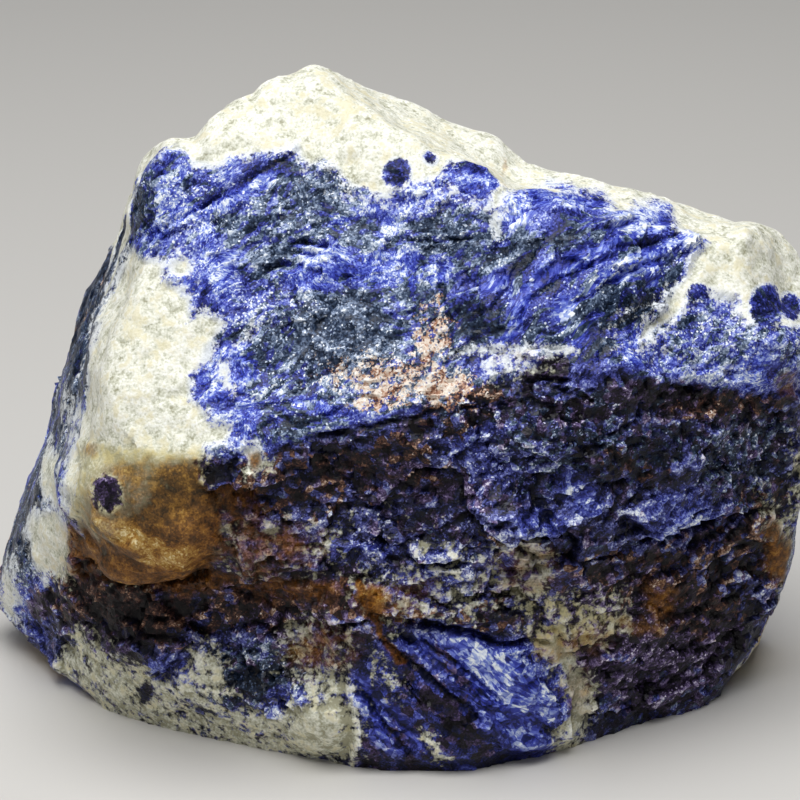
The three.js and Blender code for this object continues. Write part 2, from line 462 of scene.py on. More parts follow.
PATCHES: dict[Mineral, tuple[tuple[float, ...], ...]] = {
    Mineral.PALE: (
        # The patch at 182, 265 is a painted highlight, a glint drawn as pale rock.
        (318, 728, 74, 58, 10), (182, 265, 24, 17, 20), (226, 377, 10, 24, 20), (245, 338, 34, 7, 40),
        (255, 452, 22, 24), (506, 364, 36, 16, 10, 0.5), (278, 548, 96, 50, 4, 0.38),
        (716, 326, 190, 84, 5, 0.4), (664, 318, 70, 26, 54, 0.5), (410, 186, 160, 40, -4, 0.44),
        (224, 432, 66, 50, 0, 0.33), (200, 300, 40, 60, 0, 0.38), (486, 355, 90, 16, 0, 0.3),
        (600, 352, 90, 16, 0, 0.22), (48, 545, 44, 70, 10, 0.66), (52, 480, 22, 90, 12, 0.6),
        (6, 600, 22, 80, 0, 0.58), (60, 390, 14, 90, 14, 0.5), (505, 560, 40, 30, 20, 0.42),
        (584, 620, 76, 44, 20, 0.49), (556, 612, 60, 40, 0, 0.45), (376, 600, 40, 60, 20, 0.38),
        (450, 582, 100, 64, 0, 0.43), (390, 545, 120, 50, 0, 0.3), (788, 566, 22, 90, 20),
        (800, 492, 10, 50), (312, 652, 64, 60, 0, 0.43),
    ),
    Mineral.ROYAL: (
        (166, 205, 40, 70, -20, 0.4), (172, 222, 76, 20, 26), (228, 202, 66, 18, 32),
        (262, 184, 50, 16, 32), (212, 254, 15, 62, 8), (190, 280, 22, 34), (318, 272, 64, 34, 5),
        (384, 274, 84, 28), (340, 222, 24, 16, 35), (310, 245, 22, 8), (476, 184, 44, 18, -8),
        (226, 374, 66, 50, 20), (250, 418, 22, 60, -8), (310, 406, 74, 10, -8), (556, 198, 90, 20),
        (580, 262, 116, 16, 24), (520, 312, 84, 18, 62), (566, 312, 22, 24, 30),
        (622, 272, 90, 22, 28, 0.8), (636, 358, 22, 18, 20), (540, 510, 60, 34, 20),
        (580, 486, 50, 26, -35), (672, 508, 90, 40, 5, 0.8), (430, 585, 60, 40, 0, 0.7),
        (495, 570, 36, 30, 0, 0.6), (460, 700, 220, 140, -10, 0.9), (505, 680, 90, 80, -20),
        (650, 690, 130, 70, 10, 0.5), (290, 700, 40, 30, 0, 0.6), (168, 672, 40, 40, 30, 0.7),
        (38, 632, 20, 26), (620, 656, 70, 16, 0, 0.8), (566, 400, 40, 20, -10, 0.5),
        (460, 445, 50, 30, 0, 0.6), (590, 375, 60, 30, 0, 0.5), (360, 548, 90, 12, -4),
    ),
    Mineral.PERIWINKLE: (
        (176, 163, 34, 28, 0, 0.6), (224, 174, 36, 18, 25), (222, 284, 36, 42, -10), (234, 258, 34, 10, 15),
        (320, 254, 60, 16, 5), (400, 258, 70, 18, 5), (440, 270, 30, 24, 10), (394, 224, 26, 40, -30),
        (372, 208, 40, 14, 20), (426, 196, 44, 28), (222, 420, 34, 26, 0, 0.7), (512, 214, 26, 30, 30),
        (640, 219, 60, 19, 8), (686, 241, 40, 16, 6), (502, 280, 36, 18, 25), (514, 322, 60, 8, 62, 0.6),
        (584, 334, 44, 22, 52), (630, 266, 64, 18, 28, 0.6), (656, 278, 22, 18, 40), (634, 340, 44, 18, 40),
        (754, 370, 32, 46, -20), (700, 366, 60, 20, 0, 0.5), (500, 430, 60, 14, 15, 0.6),
        (490, 466, 90, 34, 10, 0.8), (686, 424, 60, 20, 0, 0.6), (688, 468, 54, 18, 0, 0.6),
        (625, 420, 90, 22, 5, 0.5), (455, 470, 50, 14, 10, 0.5), (240, 640, 60, 14, 0, 0.5),
        (535, 662, 66, 46), (110, 492, 34, 31, -30, 0.6), (552, 522, 36, 16, 10, 0.8),
        (664, 526, 44, 12, 8, 0.6), (690, 500, 28, 18, 0, 0.4), (438, 550, 42, 16, 4),
        (494, 662, 76, 24, -35, 0.9), (524, 704, 44, 76, 5, 0.7), (420, 648, 44, 12, -25, 0.8),
        (400, 716, 90, 9, -52, 0.6), (370, 716, 100, 26, -62, 0.9), (560, 690, 14, 50, 5, 0.8),
        (268, 652, 50, 10, 8, 0.7), (276, 704, 64, 28, 10, 0.7), (728, 446, 70, 10, -30, 0.5),
        (664, 420, 40, 12, 20, 0.5), (540, 452, 60, 20, 10, 0.6),
    ),
    Mineral.NIGHT: (
        (262, 170, 116, 11, 33), (210, 200, 40, 10, 35), (204, 296, 10, 26), (397, 173, 27, 26),
        (430, 157, 16, 12, 0, 0.7), (466, 168, 34, 16, -10), (298, 418, 54, 14, 10),
        (590, 194, 28, 14, -20), (667, 222, 16, 26, 0, 0.7), (640, 240, 56, 18, 12), (478, 320, 54, 48),
        (588, 308, 30, 26, 30), (628, 318, 110, 56, 40, 0.9), (548, 240, 90, 22, 15, 0.6),
        (560, 300, 60, 12, 40, 0.7), (600, 280, 80, 9, 32, 0.5), (572, 276, 70, 26, 30, 0.6),
        (540, 326, 110, 40, 20, 0.45), (520, 268, 40, 30, 20, 0.6), (466, 358, 34, 13, 5),
        (546, 370, 40, 18, 5, 0.7), (766, 306, 29, 38), (791, 305, 20, 26), (698, 293, 15, 14, 0, 0.8),
        (693, 327, 20, 24, 0, 0.7), (222, 474, 52, 24, 8), (630, 710, 90, 40, 12, 0.5),
        (449, 710, 150, 38, -44, 0.7), (398, 712, 90, 12, -57, 0.5), (455, 668, 80, 15, -48, 0.8),
        # The night patch at 120, 615 is painted shadow under the nose.
        (500, 742, 70, 24, -30, 0.8), (120, 615, 130, 64, -25, 0.45), (262, 678, 60, 24, 8, 0.7),
        (235, 702, 24, 20, 0, 0.8), (148, 690, 16, 18, 0, 0.6), (202, 711, 16, 14, 0, 0.6),
        (18, 630, 16, 26, 0, 0.8), (748, 640, 30, 40, -30, 0.8), (600, 450, 60, 34, 0, 0.6),
        (530, 496, 80, 40, -20, 0.5), (652, 450, 50, 30, 10, 0.7), (650, 408, 280, 36, 4, 0.3),
        (500, 440, 200, 50, 8, 0.15), (188, 496, 76, 40, -8, 0.8),
    ),
    Mineral.INK: (
        (316, 200, 90, 100, 0, 0.62), (285, 215, 90, 60, 10, 0.5), (340, 334, 140, 96, 5, 0.8),
        (284, 350, 110, 60, -20, 0.6), (364, 238, 44, 34, 0, 0.7), (440, 232, 110, 50, 5, 0.6),
        (310, 385, 110, 50, 0, 0.5), (400, 382, 160, 56, -8, 0.6), (434, 334, 44, 84, -10, 0.6),
        (275, 258, 56, 34, 10, 0.8), (236, 230, 40, 40, 0, 0.6), (170, 190, 90, 60, 20, 0.4),
        (420, 290, 60, 56, 0, 0.6), (600, 284, 230, 120, 22, 0.22), (522, 268, 30, 40, 30, 0.5),
        (540, 242, 110, 34, 12, 0.55), (482, 246, 50, 60, 0, 0.5), (606, 306, 110, 44, 36, 0.6),
        (545, 338, 76, 26, 10, 0.5), (664, 292, 40, 70, -40, 0.5), (478, 322, 64, 56, 0, 0.45),
        (632, 320, 110, 60, 40, 0.45), (300, 424, 80, 30, 10, 0.6), (720, 345, 150, 60, 0, 0.3),
        (590, 430, 240, 90, 6, 0.45), (740, 450, 110, 90, -20, 0.5), (660, 680, 150, 90, 10, 0.4),
        (264, 672, 90, 70, 10, 0.7),
    ),
    Mineral.FROST: (
        (276, 310, 100, 80, 0, 0.8), (440, 226, 110, 50, 0, 0.45), (300, 215, 100, 80, 0, 0.4),
        (300, 388, 130, 64, 0, 0.7), (480, 440, 150, 80, 0, 0.7), (640, 425, 140, 56, 0, 0.6),
        (262, 640, 110, 60, 0, 0.6), (75, 620, 50, 40, 0, 0.6), (340, 330, 120, 80, 0, 0.45),
        (200, 210, 140, 80, 10, 0.75), (180, 258, 70, 26, 15, 0.5), (560, 345, 160, 24, 0, 0.3),
        (470, 345, 50, 20, 0, 0.2), (720, 338, 140, 84, 0, 0.6), (640, 345, 60, 30, 40, 0.9),
        (366, 184, 60, 34, 0, 0.9), (436, 184, 46, 40, 0, 0.8), (496, 240, 24, 40, 0, 0.7),
        (604, 288, 220, 116, 22, 0.45), (220, 440, 70, 34, 0, 0.35), (310, 400, 90, 24, 0, 0.6),
        (360, 524, 110, 60, -5, 0.6), (500, 462, 110, 60, 0, 0.8), (590, 500, 80, 40, -20, 0.4),
        (690, 490, 70, 40, 0, 0.4), (745, 450, 100, 60, 10, 0.7), (660, 650, 90, 30, 5, 0.9),
        (510, 680, 80, 100, 0, 0.35), (450, 560, 60, 60, 0, 0.7), (270, 690, 90, 60, 0, 0.8),
        (272, 658, 76, 34, 0, 0.9), (700, 430, 120, 70, 0, 0.6), (570, 420, 130, 50, 0, 0.8),
        (420, 560, 170, 90, 0, 0.7), (610, 610, 120, 70, 0, 0.7), (650, 690, 120, 60, 10, 0.6),
        # The streak at 146, 528 is a painted highlight along the nose, partly a paler streak in the rock.
        (146, 528, 96, 10, -20), (100, 470, 60, 70, 0, 0.3),
    ),
    Mineral.GRIT: (
        (432, 342, 40, 90, -10, 0.58), (390, 380, 130, 46, -10, 0.62), (444, 390, 90, 44, 0, 0.62),
        (380, 402, 90, 22, 5, 0.6), (438, 310, 30, 50, 0, 0.45),
    ),
    Mineral.RUST: (
        (634, 462, 90, 26, -12, 0.5), (716, 408, 130, 28, 8, 0.65), (470, 428, 60, 30, 0, 0.4),
        (752, 540, 70, 110, -20, 0.6), (430, 470, 90, 40, 0, 0.45), (130, 606, 170, 50, -12, 0.85),
        (486, 392, 36, 20, 10), (510, 542, 60, 14, -5, 0.8),
    ),
    Mineral.OCHRE: (
        (150, 572, 160, 40, -6), (146, 504, 140, 96, 0, 0.66), (88, 452, 22, 18, 0, 0.55),
        (178, 478, 70, 44, 0, 0.8), (84, 500, 16, 60, 0, 0.35), (524, 572, 80, 56, 0, 0.5),
        (575, 640, 80, 40, 0, 0.5), (576, 690, 34, 70, 0, 0.45), (410, 600, 80, 50, 0, 0.4),
        (235, 506, 60, 60, 0, 0.6), (268, 548, 110, 60, 0, 0.6), (290, 590, 140, 30, 0, 0.6),
        (255, 455, 18, 20, 0, 0.7), (372, 600, 36, 44, 20, 0.8), (322, 648, 80, 56, 0, 0.55),
        (660, 600, 36, 40, 0, 0.6), (640, 622, 60, 20, 0, 0.5), (556, 648, 40, 26, 0, 0.5),
        (782, 560, 34, 100, 20, 0.8), (784, 382, 30, 30, 0, 0.5), (514, 358, 60, 14, 5, 0.35),
        (503, 164, 8, 10, 0, 0.5), (507, 182, 8, 12, 0, 0.4),
    ),
    Mineral.OLIVE: (
        (145, 458, 120, 40), (130, 486, 150, 80, 0, 0.7), (166, 474, 110, 44, 0, 0.9),
        (150, 330, 60, 50, 0, 0.5), (340, 110, 90, 40, 0, 0.5), (420, 130, 60, 40, 0, 0.5),
        (730, 250, 60, 50, 0, 0.5), (150, 690, 140, 80, 0, 0.1), (250, 730, 160, 40, 0, 0.1),
        (566, 622, 90, 60, 0, 0.7), (356, 124, 9, 9),
    ),
    Mineral.VIOLET: (
        (546, 368, 38, 18, 5), (110, 492, 40, 36, -30), (449, 710, 130, 26, -44, 0.8),
        # The violet patch at 110, 612 is painted shadow under the nose.
        (455, 668, 70, 15, -48, 0.9), (400, 716, 70, 14, -57, 0.5), (110, 612, 130, 80, -25, 0.4),
        (36, 605, 24, 30), (650, 410, 280, 40, 4, 0.35), (640, 640, 200, 130, 0, 0.6),
        (300, 600, 160, 60, 0, 0.5), (640, 690, 120, 60, 0, 0.6), (430, 480, 120, 40, 0, 0.4),
    ),
}
PALE_HOLES = (
    (222, 474, 46, 24, 8), (397, 173, 30, 29), (430, 157, 15, 13), (474, 178, 50, 38, -10),
    (766, 306, 34, 44), (791, 305, 22, 28), (698, 293, 18, 17), (693, 327, 24, 28), (110, 492, 34, 31, -30),
    (148, 690, 18, 20), (202, 711, 16, 14), (176, 162, 34, 26), (640, 220, 58, 18, 8), (560, 203, 84, 20),
    (235, 702, 24, 20),
)
EDGE_MM = {
    Mineral.ROYAL: 1.0,
    Mineral.PERIWINKLE: 1.2,
    Mineral.NIGHT: 0.9,
    Mineral.INK: 3.2,
    Mineral.FROST: 3.2,
    Mineral.GRIT: 2.0,
    Mineral.RUST: 3.0,
    Mineral.OCHRE: 2.4,
    Mineral.OLIVE: 3.0,
    Mineral.VIOLET: 1.6,
}
LEAN_ZONES = (
    (Lean.LEVEL, Patch(360, 260, 180, 200)),
    (Lean.LEVEL, Patch(430, 470, 700, 150)),
    (Lean.SWEEPING, Patch(590, 275, 230, 170, 20)),
    (Lean.FALLING, Patch(440, 700, 250, 150, -20)),
)


def shapes(mineral: Mineral) -> list[Patch | Outline | Vein]:
    """Gathers all the shapes that a mineral has on the seen side."""
    return [Patch(*numbers) for numbers in PATCHES[mineral]] + list(RUNS.get(mineral, ()))


@dataclass(frozen=True)
class Scatter:
    """How a mineral is strewn over the hidden sides: its swells, and where it starts and is full."""

    span_mm: float
    channel: int
    low: float
    high: float
    most: float

    def share(self, points: np.ndarray, raised: np.ndarray | float) -> np.ndarray:
        """Works out the mineral's share at each place.

        Args:
            points: Places on the skin in millimetres.
            raised: What favours the mineral there.

        Returns:
            Shares from 0 to the most.
        """
        return self.most * ease(drifts(points, self.span_mm, self.channel) + raised, self.low, self.high)


SCATTERS = {
    Mineral.ROYAL: Scatter(7.0, 45, 0.0, 0.35, 1.0),
    Mineral.PERIWINKLE: Scatter(5.0, 46, 0.2, 0.5, 0.8),
    Mineral.NIGHT: Scatter(6.0, 47, 0.15, 0.45, 0.8),
    Mineral.INK: Scatter(12.0, 48, 0.0, 0.4, 0.8),
    Mineral.FROST: Scatter(9.0, 49, -0.1, 0.4, 0.8),
    Mineral.GRIT: Scatter(12.0, 50, 0.3, 0.6, 0.6),
    Mineral.RUST: Scatter(15.0, 44, 0.0, 0.4, 0.6),
    Mineral.OCHRE: Scatter(10.0, 51, 0.25, 0.8, 0.7),
    Mineral.OLIVE: Scatter(9.0, 52, 0.0, 0.5, 0.7),
    Mineral.VIOLET: Scatter(13.0, 53, 0.1, 0.5, 0.6),
}


@dataclass(frozen=True)
class Ledge:
    """A wedge that stands out of the stone and ends below in a lip, in picture points."""

    corners: Route
    rise_mm: float
    soft: float = 3.0
    lip_share: float = 0.25
    overlap: float = 2.0

    def lift(self, picture: np.ndarray) -> np.ndarray:
        """Works out how far the wedge stands out at each place.

        Args:
            picture: Picture coordinates of the places.

        Returns:
            Height in millimetres.
        """
        depth = Outline(self.corners).depth(picture)
        rows = [corner[1] for corner in self.corners]
        down = ease(picture[:, 1], min(rows), max(rows) - self.lip_share * (max(rows) - min(rows)))
        return self.rise_mm * down * ease(depth, -self.overlap, self.soft)


@dataclass(frozen=True)
class Slit:
    """A dark gap along a route in picture points, or a ridge where its depth is negative."""

    width: float
    depth_mm: float
    route: Route
    overlap: float = 2.0

    def drop(self, picture: np.ndarray) -> np.ndarray:
        """Works out how deep the gap is at each place, in millimetres."""
        inside = Vein(self.width, self.route).depth(picture)
        return self.depth_mm * ease(inside, -self.overlap, self.width / 2)


@dataclass(frozen=True)
class Swell:
    """A broad bulge or dip of the whole stone, centred in picture points and moved in millimetres."""

    x: float
    y: float
    wide: float
    tall: float
    move_mm: Triple

    def shift(self, picture: np.ndarray) -> np.ndarray:
        """Works out how far the bulge moves each place.

        Args:
            picture: Picture coordinates of the places.

        Returns:
            Moves in millimetres, one row of three to each place.
        """
        right = (picture[:, 0] - self.x) / (self.wide / 2)
        down = (picture[:, 1] - self.y) / (self.tall / 2)
        share = np.clip(1.0 - (right * right + down * down) ** 2, 0.0, 1.0) ** 2
        return share[:, None] * np.array(self.move_mm)


@dataclass(frozen=True)
class BladeRun:
    """How blades lie in one zone: the way they run, and the way that the face they show looks."""

    lean: Lean
    along: Triple
    face: Triple
    stretch: float
    thick: float = 1.0

    @property
    def size(self) -> Triple:
        """How much larger than a plain blade these are, along, across and through."""
        return (self.stretch, self.thick, self.thick)

    @property
    def axes(self) -> np.ndarray:
        """The blades' own axes as rows: along, across and out of the face."""
        along = Vector(self.along).normalized()
        across = Vector(self.face).cross(along).normalized()
        return np.array([along, across, along.cross(across)])

    @property
    def turn(self) -> Triple:
        """The turn from the stone's axes to the blades' own, for a Mapping node."""
        return tuple(Matrix(self.axes.tolist()).transposed().to_euler("XYZ"))


LEDGES = (
    Ledge(
        ((464, 500), (490, 470), (560, 466), (613, 486), (612, 498),
         (583, 506), (569, 514), (561, 533), (500, 535)),
        3.4, 6,
    ),
    Ledge(
        ((616, 506), (648, 484), (690, 478), (726, 474), (740, 496), (714, 516), (682, 524), (652, 536)),
        2.2, 6,
    ),
    Ledge(((402, 546), (428, 530), (470, 532), (462, 552), (440, 562), (414, 566)), 1.3),
    Ledge(
        ((70, 470), (90, 452), (200, 456), (214, 500), (214, 550),
         (204, 568), (139, 585), (110, 578), (78, 552)),
        1.8, 34,
    ),
    Ledge(((104, 536), (130, 522), (190, 542), (208, 556), (194, 576), (140, 586), (112, 576)), 1.4, 14),
    Ledge(((344, 640), (410, 626), (500, 650), (552, 644), (572, 690), (566, 770), (350, 770)), 1.2),
    Ledge(((196, 462), (246, 460), (250, 478), (210, 492), (196, 480)), 0.8),
    Ledge(((556, 600), (610, 590), (626, 610), (600, 640), (560, 650)), 1),
    Ledge(((232, 540), (270, 524), (322, 534), (318, 570), (250, 578)), 1),
)
SLITS = (
    Slit(9, 2.4, ((500, 541), (532, 541), (558, 538))), Slit(7, 1.6, ((572, 516), (584, 510), (612, 503))),
    Slit(7, 1.8, ((642, 538), (680, 533), (714, 524))), Slit(6, 1.2, ((416, 567), (456, 560))),
    Slit(8, 1.6, ((410, 623), (480, 637), (502, 649), (545, 641))),
    Slit(6, 0.7, ((312, 438), (360, 428), (412, 420), (440, 408))),
    Slit(6, 1.1, ((290, 240), (306, 239), (324, 245))), Slit(5, 0.8, ((296, 250), (312, 252))),
    Slit(6, 1, ((268, 268), (288, 264))), Slit(6, 1.4, ((84, 560), (112, 584), (140, 590), (204, 574))),
    Slit(5, 0.8, ((528, 380), (566, 380))), Slit(5, 0.7, ((216, 222), (220, 236))),
    Slit(3, 0.4, ((196, 212), (226, 190), (262, 172), (299, 148))),
    Slit(4, 0.5, ((140, 236), (172, 226), (206, 206))),
    Slit(3, 0.45, ((506, 346), (528, 304), (560, 278), (626, 250))),
    Slit(3, 0.45, ((572, 306), (604, 286), (650, 262))), Slit(4, 0.5, ((610, 250), (640, 244), (676, 232))),
    Slit(4, 0.5, ((442, 262), (444, 296), (452, 320))), Slit(4, 0.6, ((410, 238), (440, 240), (470, 236))),
    Slit(5, 0.8, ((380, 640), (430, 676), (480, 716))), Slit(4, 0.6, ((356, 690), (392, 728), (410, 752))),
    Slit(4, 0.6, ((420, 640), (470, 672), (500, 700))),
)
NOSE_RIDGE = Slit(11, -0.6, ((100, 514), (127, 529), (186, 546)))
SWELLS = (
    Swell(150, 170, 100, 150, (-0.6, 0, 2.5)), Swell(240, 115, 120, 170, (0, 0, 1.1)),
    Swell(395, 115, 290, 240, (0, 0, 2.3)), Swell(562, 172, 150, 150, (0, 0, -1.25)),
    Swell(768, 245, 80, 110, (0, 0, 1)), Swell(72, 335, 120, 210, (-1.1, 0, 0)),
    Swell(318, 724, 84, 76, (0, -1.3, 0)),
)
BLADE_RUNS = (
    BladeRun(Lean.LEVEL, (1.0, 0.05, 0.06), (0.0, -0.7, 0.7), 0.6),
    BladeRun(Lean.RISING, (0.82, 0.33, 0.46), (0.0, -0.7, 0.7), 0.8),
    BladeRun(Lean.SWEEPING, (0.76, 0.41, 0.50), (0.0, -0.7, 0.7), 2.0, 1.5),
    BladeRun(Lean.FALLING, (0.79, 0.0, -0.61), (0.0, -0.95, 0.2), 2.6, 1.7),
)


@dataclass(frozen=True)
class HiddenSides:
    """How the minerals carry on over the sides, the back and the underside."""

    cap_mm: float = 50.0
    cap_swell_mm: float = 9.0
    lump_mm: float = 5.0
    vein_wide_mm: float = 1.6
    vein_gap_mm: float = 1.0
    vein_slope: float = 14.0
    blotch_slope: float = 7.0
    blotch_from: float = 0.30
    blotch_most_mm: float = 1.6
    pale_limit_mm: float = 4.0
    stain_below_mm: float = 30.0
    stain_per_mm: float = 0.007
    stain_by_pale: float = 0.2
    left_slate_and_shade_most: float = 0.7

    def shares(self, points: np.ndarray, normals: np.ndarray) -> dict[str, np.ndarray]:
        """Works out every mineral's share at every place.

        Args:
            points: Places on the skin in millimetres.
            normals: Outward directions there.

        Returns:
            Each mineral's share there, and the pale rock's depth.
        """
        height = points[:, 2]
        lumps = drifts(points, 13.0, 41)
        cap = height - (self.cap_mm + self.cap_swell_mm * drifts(points, 26.0, 40) + self.lump_mm * lumps)
        bent = points + self.lump_mm * lumps[:, None]
        broken = self.vein_wide_mm * ease(drifts(points, 9.0, 54), -0.25, 0.3)
        veins = broken - self.vein_gap_mm - self.vein_slope * np.abs(waves(bent, 21.0, 42) - 0.05)
        blotches = self.blotch_slope * (drifts(points, 15.0, 43) - self.blotch_from)
        blotches = np.minimum(blotches, self.blotch_most_mm)
        pale = np.maximum(np.maximum(cap, veins), blotches)
        pale = np.clip(pale, -self.pale_limit_mm, self.pale_limit_mm)
        beside_pale = ease(pale, -2.5, 0.0) * ease(-pale, -2.0, 0.5)
        low = self.stain_per_mm * (self.stain_below_mm - height)
        # Sides that face left get night and ink grains: dark slate rock and partly painted shade on that
        # side.
        left_slate_and_shade = ease(-normals[:, 0], 0.3, 0.8) * ease(drifts(points, 16.0, 55), -0.5, 0.1)
        raised = {Mineral.RUST: low, Mineral.OCHRE: self.stain_by_pale * beside_pale + low}
        shares = {"pale": pale}
        for mineral, scatter in SCATTERS.items():
            shares[mineral.value] = scatter.share(points, raised.get(mineral, 0.0))
        for dark in ("night", "ink"):
            shares[dark] = np.maximum(self.left_slate_and_shade_most * left_slate_and_shade, shares[dark])
        return shares


@dataclass
class MineralMap:
    """Where each mineral shows on the stone's skin.

    The edges of what is seen are made ragged by a coarse and a fine wave, measured in picture points. Pale
    rock is mapped as a depth in millimetres, positive inside it, and every other mineral as a share.
    """

    eye: Eye
    ragged_points: tuple[float, float] = (6.0, 3.0)
    ragged_mm: tuple[float, float] = (3.1, 1.2)
    ragged_ledges: float = 0.6
    ragged_holes: float = 0.3
    seen_facing: tuple[float, float] = (0.0, 0.2)
    square_facing: tuple[float, float] = (0.1, 0.5)
    pale_limit_mm: float = 4.0
    hole_limit_mm: float = 6.0
    hole_slope: float = 3.0
    hole_edge_mm: tuple[float, float] = (-0.5, 0.4)
    edge_share: float = 0.7
    brow_edge: tuple[float, float] = (-6.0, 8.0)
    haze_mm: tuple[float, float] = (-2.2, -0.2)
    haze_frost: float = 0.45
    lean_seen: float = 0.4
    ragged_channels: tuple[int, int] = (10, 20)
    fields: dict[str, np.ndarray] = field(default_factory=dict)
    seen: np.ndarray = field(init=False)
    square_on: np.ndarray = field(init=False)
    picture: np.ndarray = field(init=False)
    ground: np.ndarray = field(init=False)

    def draw(self, points: np.ndarray, normals: np.ndarray) -> None:
        """Works out every mineral's share at every place.

        Args:
            points: Places on the skin in millimetres.
            normals: Outward directions there.
        """
        facing = self.eye.facing(points, normals)
        self.seen = ease(facing, *self.seen_facing)
        self.square_on = ease(np.abs(facing), *self.square_facing)
        ragged = np.zeros((len(points), 2))
        for size, span, channel in zip(self.ragged_points, self.ragged_mm, self.ragged_channels):
            for axis in range(2):
                ragged[:, axis] += size * waves(points, span, channel + axis)
        plain = self.eye.picture(points)
        picture = plain + ragged
        self.picture = plain + self.ragged_ledges * ragged
        hidden = HiddenSides().shares(points, normals)
        pale = self.pale_depth(picture)
        self.ground = self.seen * pale + (1.0 - self.seen) * hidden["pale"]
        self.fields["pale"], clear = self.holed(pale, plain + self.ragged_holes * ragged)
        for mineral in EDGE_MM:
            self.fields[mineral.value] = self.mineral_share(mineral, picture)
        self.fields["ochre"] *= clear
        for name, share in hidden.items():
            self.fields[name] = self.seen * self.fields[name] + (1.0 - self.seen) * share
        brow = np.interp(plain[:, 0], *zip(*BROW))
        # The front below the brow: rougher, and darkened in the finish partly as painted shade.
        front = self.seen * ease(picture[:, 1] - brow, *self.brow_edge)
        haze = clear * ease(self.fields["pale"], *self.haze_mm) * (1.0 - front)
        self.fields["frost"] = np.maximum(self.fields["frost"], self.haze_frost * haze)
        self.fields["front"] = front
        self.fields["lean"] = self.leaning(plain)

    def pale_depth(self, picture: np.ndarray) -> np.ndarray:
        """Measures how far inside the pale rock each place lies.

        Args:
            picture: Ragged picture coordinates of the places.

        Returns:
            Depth in millimetres. A shape of half strength only reaches 0.
        """
        pale = np.full(len(picture), -self.pale_limit_mm)
        for shape in shapes(Mineral.PALE):
            depth = shape.depth(picture) * self.eye.mm_per_point
            most = 2.0 * self.pale_limit_mm * (shape.strength - 0.5)
            pale = np.maximum(pale, np.clip(depth, -self.pale_limit_mm, most))
        return pale

    def holed(self, pale: np.ndarray, picture: np.ndarray) -> tuple[np.ndarray, np.ndarray]:
        """Cuts the dark spots out of the pale rock.

        Args:
            pale: Depth inside the pale rock in millimetres.
            picture: Picture coordinates of the places.

        Returns:
            The depth with the spots cut out, and the share of each place that is clear of them.
        """
        clear = np.ones(len(pale))
        for numbers in PALE_HOLES:
            depth = Patch(*numbers).depth(picture) * self.eye.mm_per_point
            outside = np.clip(-self.hole_slope * depth, -self.hole_limit_mm, self.pale_limit_mm)
            pale = np.minimum(pale, outside)
            clear = np.minimum(clear, ease(-depth, *self.hole_edge_mm))
        return pale, clear

    def mineral_share(self, mineral: Mineral, picture: np.ndarray) -> np.ndarray:
        """Works out how much of a mineral shows at each place of the seen side.

        Args:
            mineral: The mineral.
            picture: Ragged picture coordinates of the places.

        Returns:
            Shares from 0 to 1.
        """
        total = np.zeros(len(picture))
        for shape in shapes(mineral):
            depth = shape.depth(picture) * self.eye.mm_per_point
            edge = min(EDGE_MM[mineral], self.edge_share * shape.reach * self.eye.mm_per_point)
            total = np.maximum(total, shape.strength * ease(depth, -edge, edge))
        return total

    def leaning(self, picture: np.ndarray) -> np.ndarray:
        """Chooses which way the blades run at each place.

        Args:
            picture: Picture coordinates of the places.

        Returns:
            The value of one of the leans for each place.
        """
        lean = np.full(len(picture), Lean.RISING.value)
        for zone_lean, zone in LEAN_ZONES:
            lean = np.where(zone.depth(picture) > 0, zone_lean.value, lean)
        return np.where(self.seen > self.lean_seen, lean, Lean.RISING.value)


